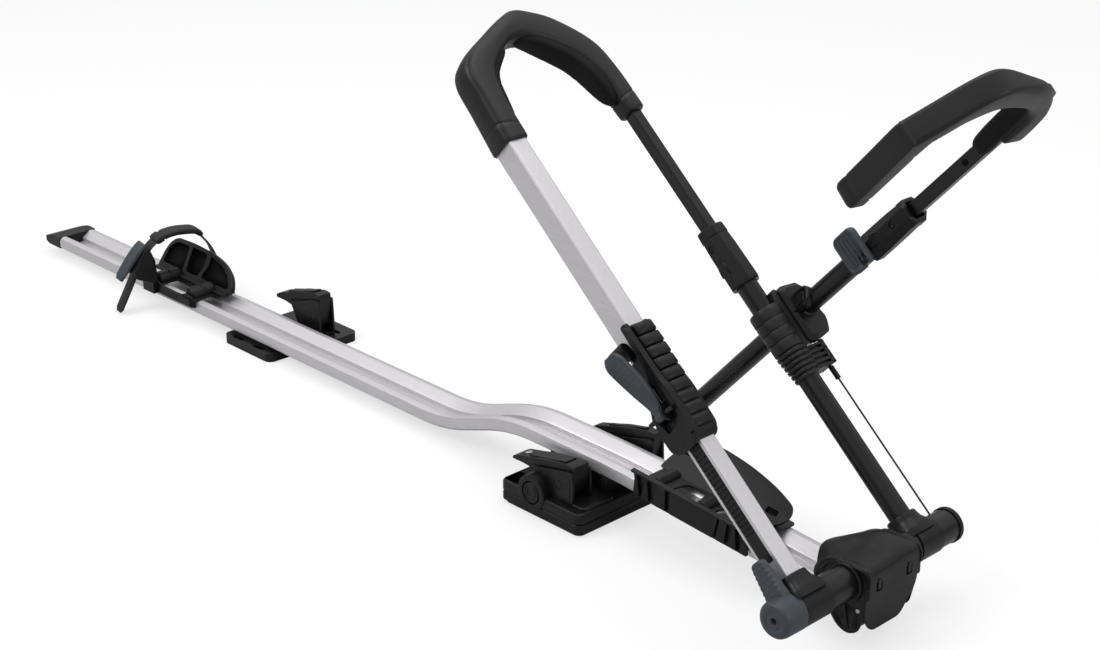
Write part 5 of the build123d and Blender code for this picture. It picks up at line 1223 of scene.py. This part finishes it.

# End cap without the tongue that the rail hides: faceted, with one small hole in its deck, drawn as a disc of
# painted shade rather than cut
capLook = {"tongue": 60.5, "holeBack": 46, "holeAt": (-3, 29.6)}
endCap = bpy.data.objects.new("railEndCap", nodes["rail_end_cap"].data.copy())
scene.collection.objects.link(endCap)
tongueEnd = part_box("rail_end_cap")[1][0] * 1000
tongueOutline = corners(tongueEnd - capLook["tongue"], -14, tongueEnd + 5, 14)
carve(endCap, prism("tongueCut", tongueOutline, frameAt, 0, 80))
dress(soften(endCap, 1.2, 3, 30), blackPlastic, "carrier_rail", "rail_end_cap")
holeX, (holeY, holeZ) = tongueEnd - capLook["holeBack"], capLook["holeAt"]
# The hole is not cut: a dark disc of painted shade lies on the deck
deckHoleShade = spun("deckHoleShade", [(0, 0.2), (0, 2.4), (0.6, 2.5)],
                lambda x, y, z: frameAt(holeX + x, holeY + y, holeZ + z), 20)
dress(deckHoleShade, paintedShadeBlack, "carrier_rail")

# Ladder strap: rungs on its near part, narrower over the wheel's far side. Lines are (across, up)
strapLook = {
    "line": [(-57.5, 3.9), (-40, 36), (-22.5, 68.3), (-8, 92), (8, 109.5), (26, 119), (45, 122.6), (66, 121.6),
             (85, 117.1), (99, 101), (110, 84.2), (119, 58), (125, 31.7)],
    "half": 12.8, "narrowing": 6.0, "narrowFrom": 0.62, "narrowTo": 0.80, "thick": 2.4, "rungsTo": 0.44,
    "rungHeight": 2.3}
strapPoints = smoothLine(strapLook["line"], 260)
rings = []
for i, p in enumerate(strapPoints):
    out = leftOf(strapPoints, i)
    share = i / 259
    rung = share < strapLook["rungsTo"] and i % 6 in (0, 1, 2)
    half = strapLook["half"]
    if share >= strapLook["narrowFrom"]:
        half -= strapLook["narrowing"] * min(1, (share - strapLook["narrowFrom"]) / 0.05)
    if share >= strapLook["narrowTo"]:
        half += strapLook["narrowing"] * min(1, (share - strapLook["narrowTo"]) / 0.08)
    if share <= 0.02:
        half -= 5 * (1 - share / 0.02)
    ring = []
    for side, up in roundRect(2 * half, strapLook["thick"], 0.9, 3):
        rise = up + (strapLook["rungHeight"] if rung and up > 0.5 and abs(side) < half - 2.0 else 0)
        q = p + out * rise
        ring.append(strapAt(q.x, side, q.y))
    rings.append(ring)
strap = loft("ladderStrap", rings)
dress(strap, blackRubber, "rear_tray", "strap")

# Pad under the wheel's side of the strap: a thicker head, a waist, then the body; (share, width, thickness)
padLook = {"first": 112, "last": 186, "parts": [(0.16, 31, 11.5), (0.20, 27.5, 8.5), (2, 29, 10.0)]}
first, last = padLook["first"], padLook["last"]
rings = []
for i in range(first, last):
    p = strapPoints[i]
    out = leftOf(strapPoints, i)
    t = (i - first) / (last - 1 - first)
    fade = min(1, 0.5 + 8 * t, 0.5 + 8 * (1 - t))
    wide, thick = next(sizes for until, *sizes in padLook["parts"] if t < until)
    ring = []
    for side, up in roundRect(wide, thick, 4.0, 5):
        q = p + out * (up * (0.5 + 0.5 * fade) + 0.4)
        ring.append(strapAt(q.x, side * (0.86 + 0.14 * fade), q.y))
    rings.append(ring)
strapPad = loft("strapPad", rings)
dress(strapPad, blackRubber, "rear_tray", "strap_pad")

# Buckle: two ears and a bed, with a dished blue-grey lever that tapers to its tip
buckleLook = {
    "ear": [(-6, 50), (6, 46), (8, 60), (4, 90), (-3, 108), (-11, 106), (-33, 72), (-28, 58)],
    "ears": (14.4, 18.4),
    "bed": [(-6, 48), (6, 46), (7, 84), (1, 96), (-14, 62)], "bedHalf": 15,
    "lever": [(-6, 111.5), (-16, 104), (-32, 86), (-48, 65), (-52, 58)], "leverHalf": 13.9, "leverThick": 8.0,
    "dish": 0.9}
earOutline = roundOutline(buckleLook["ear"], [4, 5, 6, 8, 5, 5, 6, 5], 5)
buckleParts = []
for s in (-1, 1):
    ear = prism("buckleEar", earOutline, sideways(strapAt), *[s * side for side in buckleLook["ears"]])
    buckleParts.append(soften(ear, 1.6, 3))
bed = prism("buckleBed", roundOutline(buckleLook["bed"], 3, 3), sideways(strapAt), -buckleLook["bedHalf"],
            buckleLook["bedHalf"])
buckleParts.append(soften(bed, 1.0, 2))
dress(joined("buckleFrame", buckleParts), blackPlastic, "rear_tray", "buckle_body")
buckleLine = smoothLine(buckleLook["lever"], 30)
rings = []
for i, p in enumerate(buckleLine):
    out = -leftOf(buckleLine, i)
    half = buckleLook["leverHalf"] - (3.4 * ((i - 24) / 5) ** 2 if i > 24 else 0)
    thick = buckleLook["leverThick"] - 3.0 * (i / 29) ** 2
    dish = buckleLook["dish"] if 9 <= i <= 24 else 0
    ring = []
    for side, up in roundRect(2 * half, thick, 2.6, 5):
        sink = dish if up > 0.5 and abs(side) < half - 3 else 0
        q = p + out * (up - sink)
        ring.append(strapAt(q.x, side, q.y))
    rings.append(ring)
buckleLever = loft("buckleLever", rings)
dress(soften(buckleLever, 0.6, 2, 45), greyPlastic, "buckle_lever", "buckle_lever")
print("rear tray and strap made")

# CAD pieces that stay, with softened edges and their finishes
kept = {
    "rail": (silverRail, 0.35), "silver_lower_bar": (silverBar, 0.5), "silver_upper_bar": (silverBar, 0.4),
    "tube_bushes": (blackPlastic, 0.5), "cross_tube": (blackTube, 0.4),
    "cross_tube_cap": (blackPlastic, 0.8), "tooth_strip": (blackPlastic, 0.25), "leg_tube": (blackTube, 0.3),
    "hoop_rod": (blackTube, 0.5), "hook_tube": (hookTubeBlack, 0.3), "hook_tube_cap": (blackPlastic, 0.6),
    "hook_rod": (hookTubeBlack, 0.5), "hook_pin": (plainSteel, 0.3), "ratchet_pin": (blackTube, 0.4),
    "ratchet_pawl": (plainSteel, 0.4), "wire": (blackTube, 0.0), "wire_ferrule": (blackPlastic, 0.4),
    "foot_sole": (blackRubber, 0.8), "foot_saddle": (blackPlastic, 1.6), "rear_plate": (blackPlastic, 1.4),
    "buckle_stand": (blackPlastic, 1.2),
}
for name, (material, edge) in kept.items():
    node = nodes[name]
    node.data.materials.clear()
    node.data.materials.append(material)
    if edge:
        soften(node, edge, 2, 32)
print("kept pieces dressed")

# Stage, light and camera
stageLook = {"floorHalf": 14, "floorDrop": 0.0004, "paperBounce": 0.52, "paperSeen": 0.90, "glow": 0.66,
             "shades": [(0.0, 0.16), (0.5, 0.26), (0.62, 0.40), (0.72, 0.85), (0.84, 0.95), (1.0, 0.60)]}
cameraLook = {"at": (1.6027, -1.6088, 1.1814), "aim": (-0.668, 0.639, -0.381), "lens": 62.73, "sensor": 36}


# One where the camera sees a surface itself, nought where it only lights the object
def seenByCamera(tree):
    rays = tree.nodes.new("ShaderNodeLightPath")
    return addMath(tree, "MAXIMUM", rays.outputs["Is Camera Ray"], rays.outputs["Is Transmission Ray"])


half = stageLook["floorHalf"]
floorMesh = bpy.data.meshes.new("floor")
floorMesh.from_pydata([(x, y, 0) for x, y in corners(-half, -half, half, half)], [], [(0, 1, 2, 3)])
floor = bpy.data.objects.new("floor", floorMesh)
floor.location.z = -stageLook["floorDrop"]
scene.collection.objects.link(floor)
paper = bpy.data.materials.new("pale paper")
paper.use_nodes = True
tree = paper.node_tree
surface = tree.nodes["Principled BSDF"]
setInputs(surface, {"Roughness": 0.9, "Specular IOR Level": 0.0})
glow = tree.nodes.new("ShaderNodeEmission")
glow.inputs["Color"].default_value = (1, 1, 1, 1)
seen = seenByCamera(tree)
bounce, paperSeen = [(stageLook[key],) * 3 for key in ("paperBounce", "paperSeen")]
tree.links.new(mixColours(tree, seen, bounce, paperSeen), surface.inputs["Base Color"])
blend = tree.nodes.new("ShaderNodeMixShader")
tree.links.new(addMath(tree, "MULTIPLY", seen, stageLook["glow"]), blend.inputs["Fac"])
tree.links.new(surface.outputs[0], blend.inputs[1])
tree.links.new(glow.outputs[0], blend.inputs[2])
tree.links.new(blend.outputs[0], tree.nodes["Material Output"].inputs["Surface"])
floorMesh.materials.append(paper)

# The studio: a bright soft ceiling, paler walls low down, plain white to the camera
world = bpy.data.worlds.new("studio")
scene.world = world
world.use_nodes = True
tree = world.node_tree
sky = tree.nodes["Background"]
directions = tree.nodes.new("ShaderNodeTexCoord")
upward = tree.nodes.new("ShaderNodeSeparateXYZ")
tree.links.new(directions.outputs["Generated"], upward.inputs[0])
heights = tree.nodes.new("ShaderNodeValToRGB")
tree.links.new(addMath(tree, "MULTIPLY", addMath(tree, "ADD", upward.outputs["Z"], 1.0), 0.5),
               heights.inputs["Fac"])
shades = stageLook["shades"]
heights.color_ramp.elements[0].position, heights.color_ramp.elements[1].position = shades[0][0], shades[-1][0]
for position, shade in shades[1:-1]:
    heights.color_ramp.elements.new(position)
for element, (position, shade) in zip(heights.color_ramp.elements, shades):
    element.position = position
    element.color = (shade * 0.985, shade * 0.99, shade, 1)
seen = seenByCamera(tree)
whiten = tree.nodes.new("ShaderNodeMix")
whiten.data_type = "RGBA"
tree.links.new(seen, whiten.inputs["Factor"])
tree.links.new(heights.outputs["Color"], whiten.inputs["A"])
whiten.inputs["B"].default_value = (1, 1, 1, 1)
tree.links.new(whiten.outputs["Result"], sky.inputs["Color"])

lamps = {
    "keyLamp": {"at": (-1.6, -2.2, 2.9), "aim": (-0.1, 0, 0.2), "size": 1.6, "power": 46},
    "topLamp": {"at": (-0.2, 0.5, 3.2), "aim": (-0.1, 0, 0.2), "size": 2.2, "power": 34},
    "sideLamp": {"at": (2.8, 0.4, 1.3), "aim": (0.2, 0, 0.3), "size": 1.4, "power": 14},
}
for name, lamp in lamps.items():
    light = bpy.data.lights.new(name, "AREA")
    light.size = lamp["size"]
    light.energy = lamp["power"]
    holder = bpy.data.objects.new(name, light)
    holder.location = lamp["at"]
    holder.rotation_euler = (Vector(lamp["aim"]) - Vector(lamp["at"])).to_track_quat("-Z", "Y").to_euler()
    scene.collection.objects.link(holder)

camera = bpy.data.objects.new("camera", bpy.data.cameras.new("camera"))
camera.data.lens = cameraLook["lens"]
camera.data.sensor_width = cameraLook["sensor"]
camera.data.clip_end = 60
camera.location = cameraLook["at"]
camera.rotation_euler = Vector(cameraLook["aim"]).to_track_quat("-Z", "Y").to_euler()
scene.collection.objects.link(camera)
scene.camera = camera
scene.view_settings.view_transform = "Standard"

bpy.context.view_layer.update()
print("stage set")
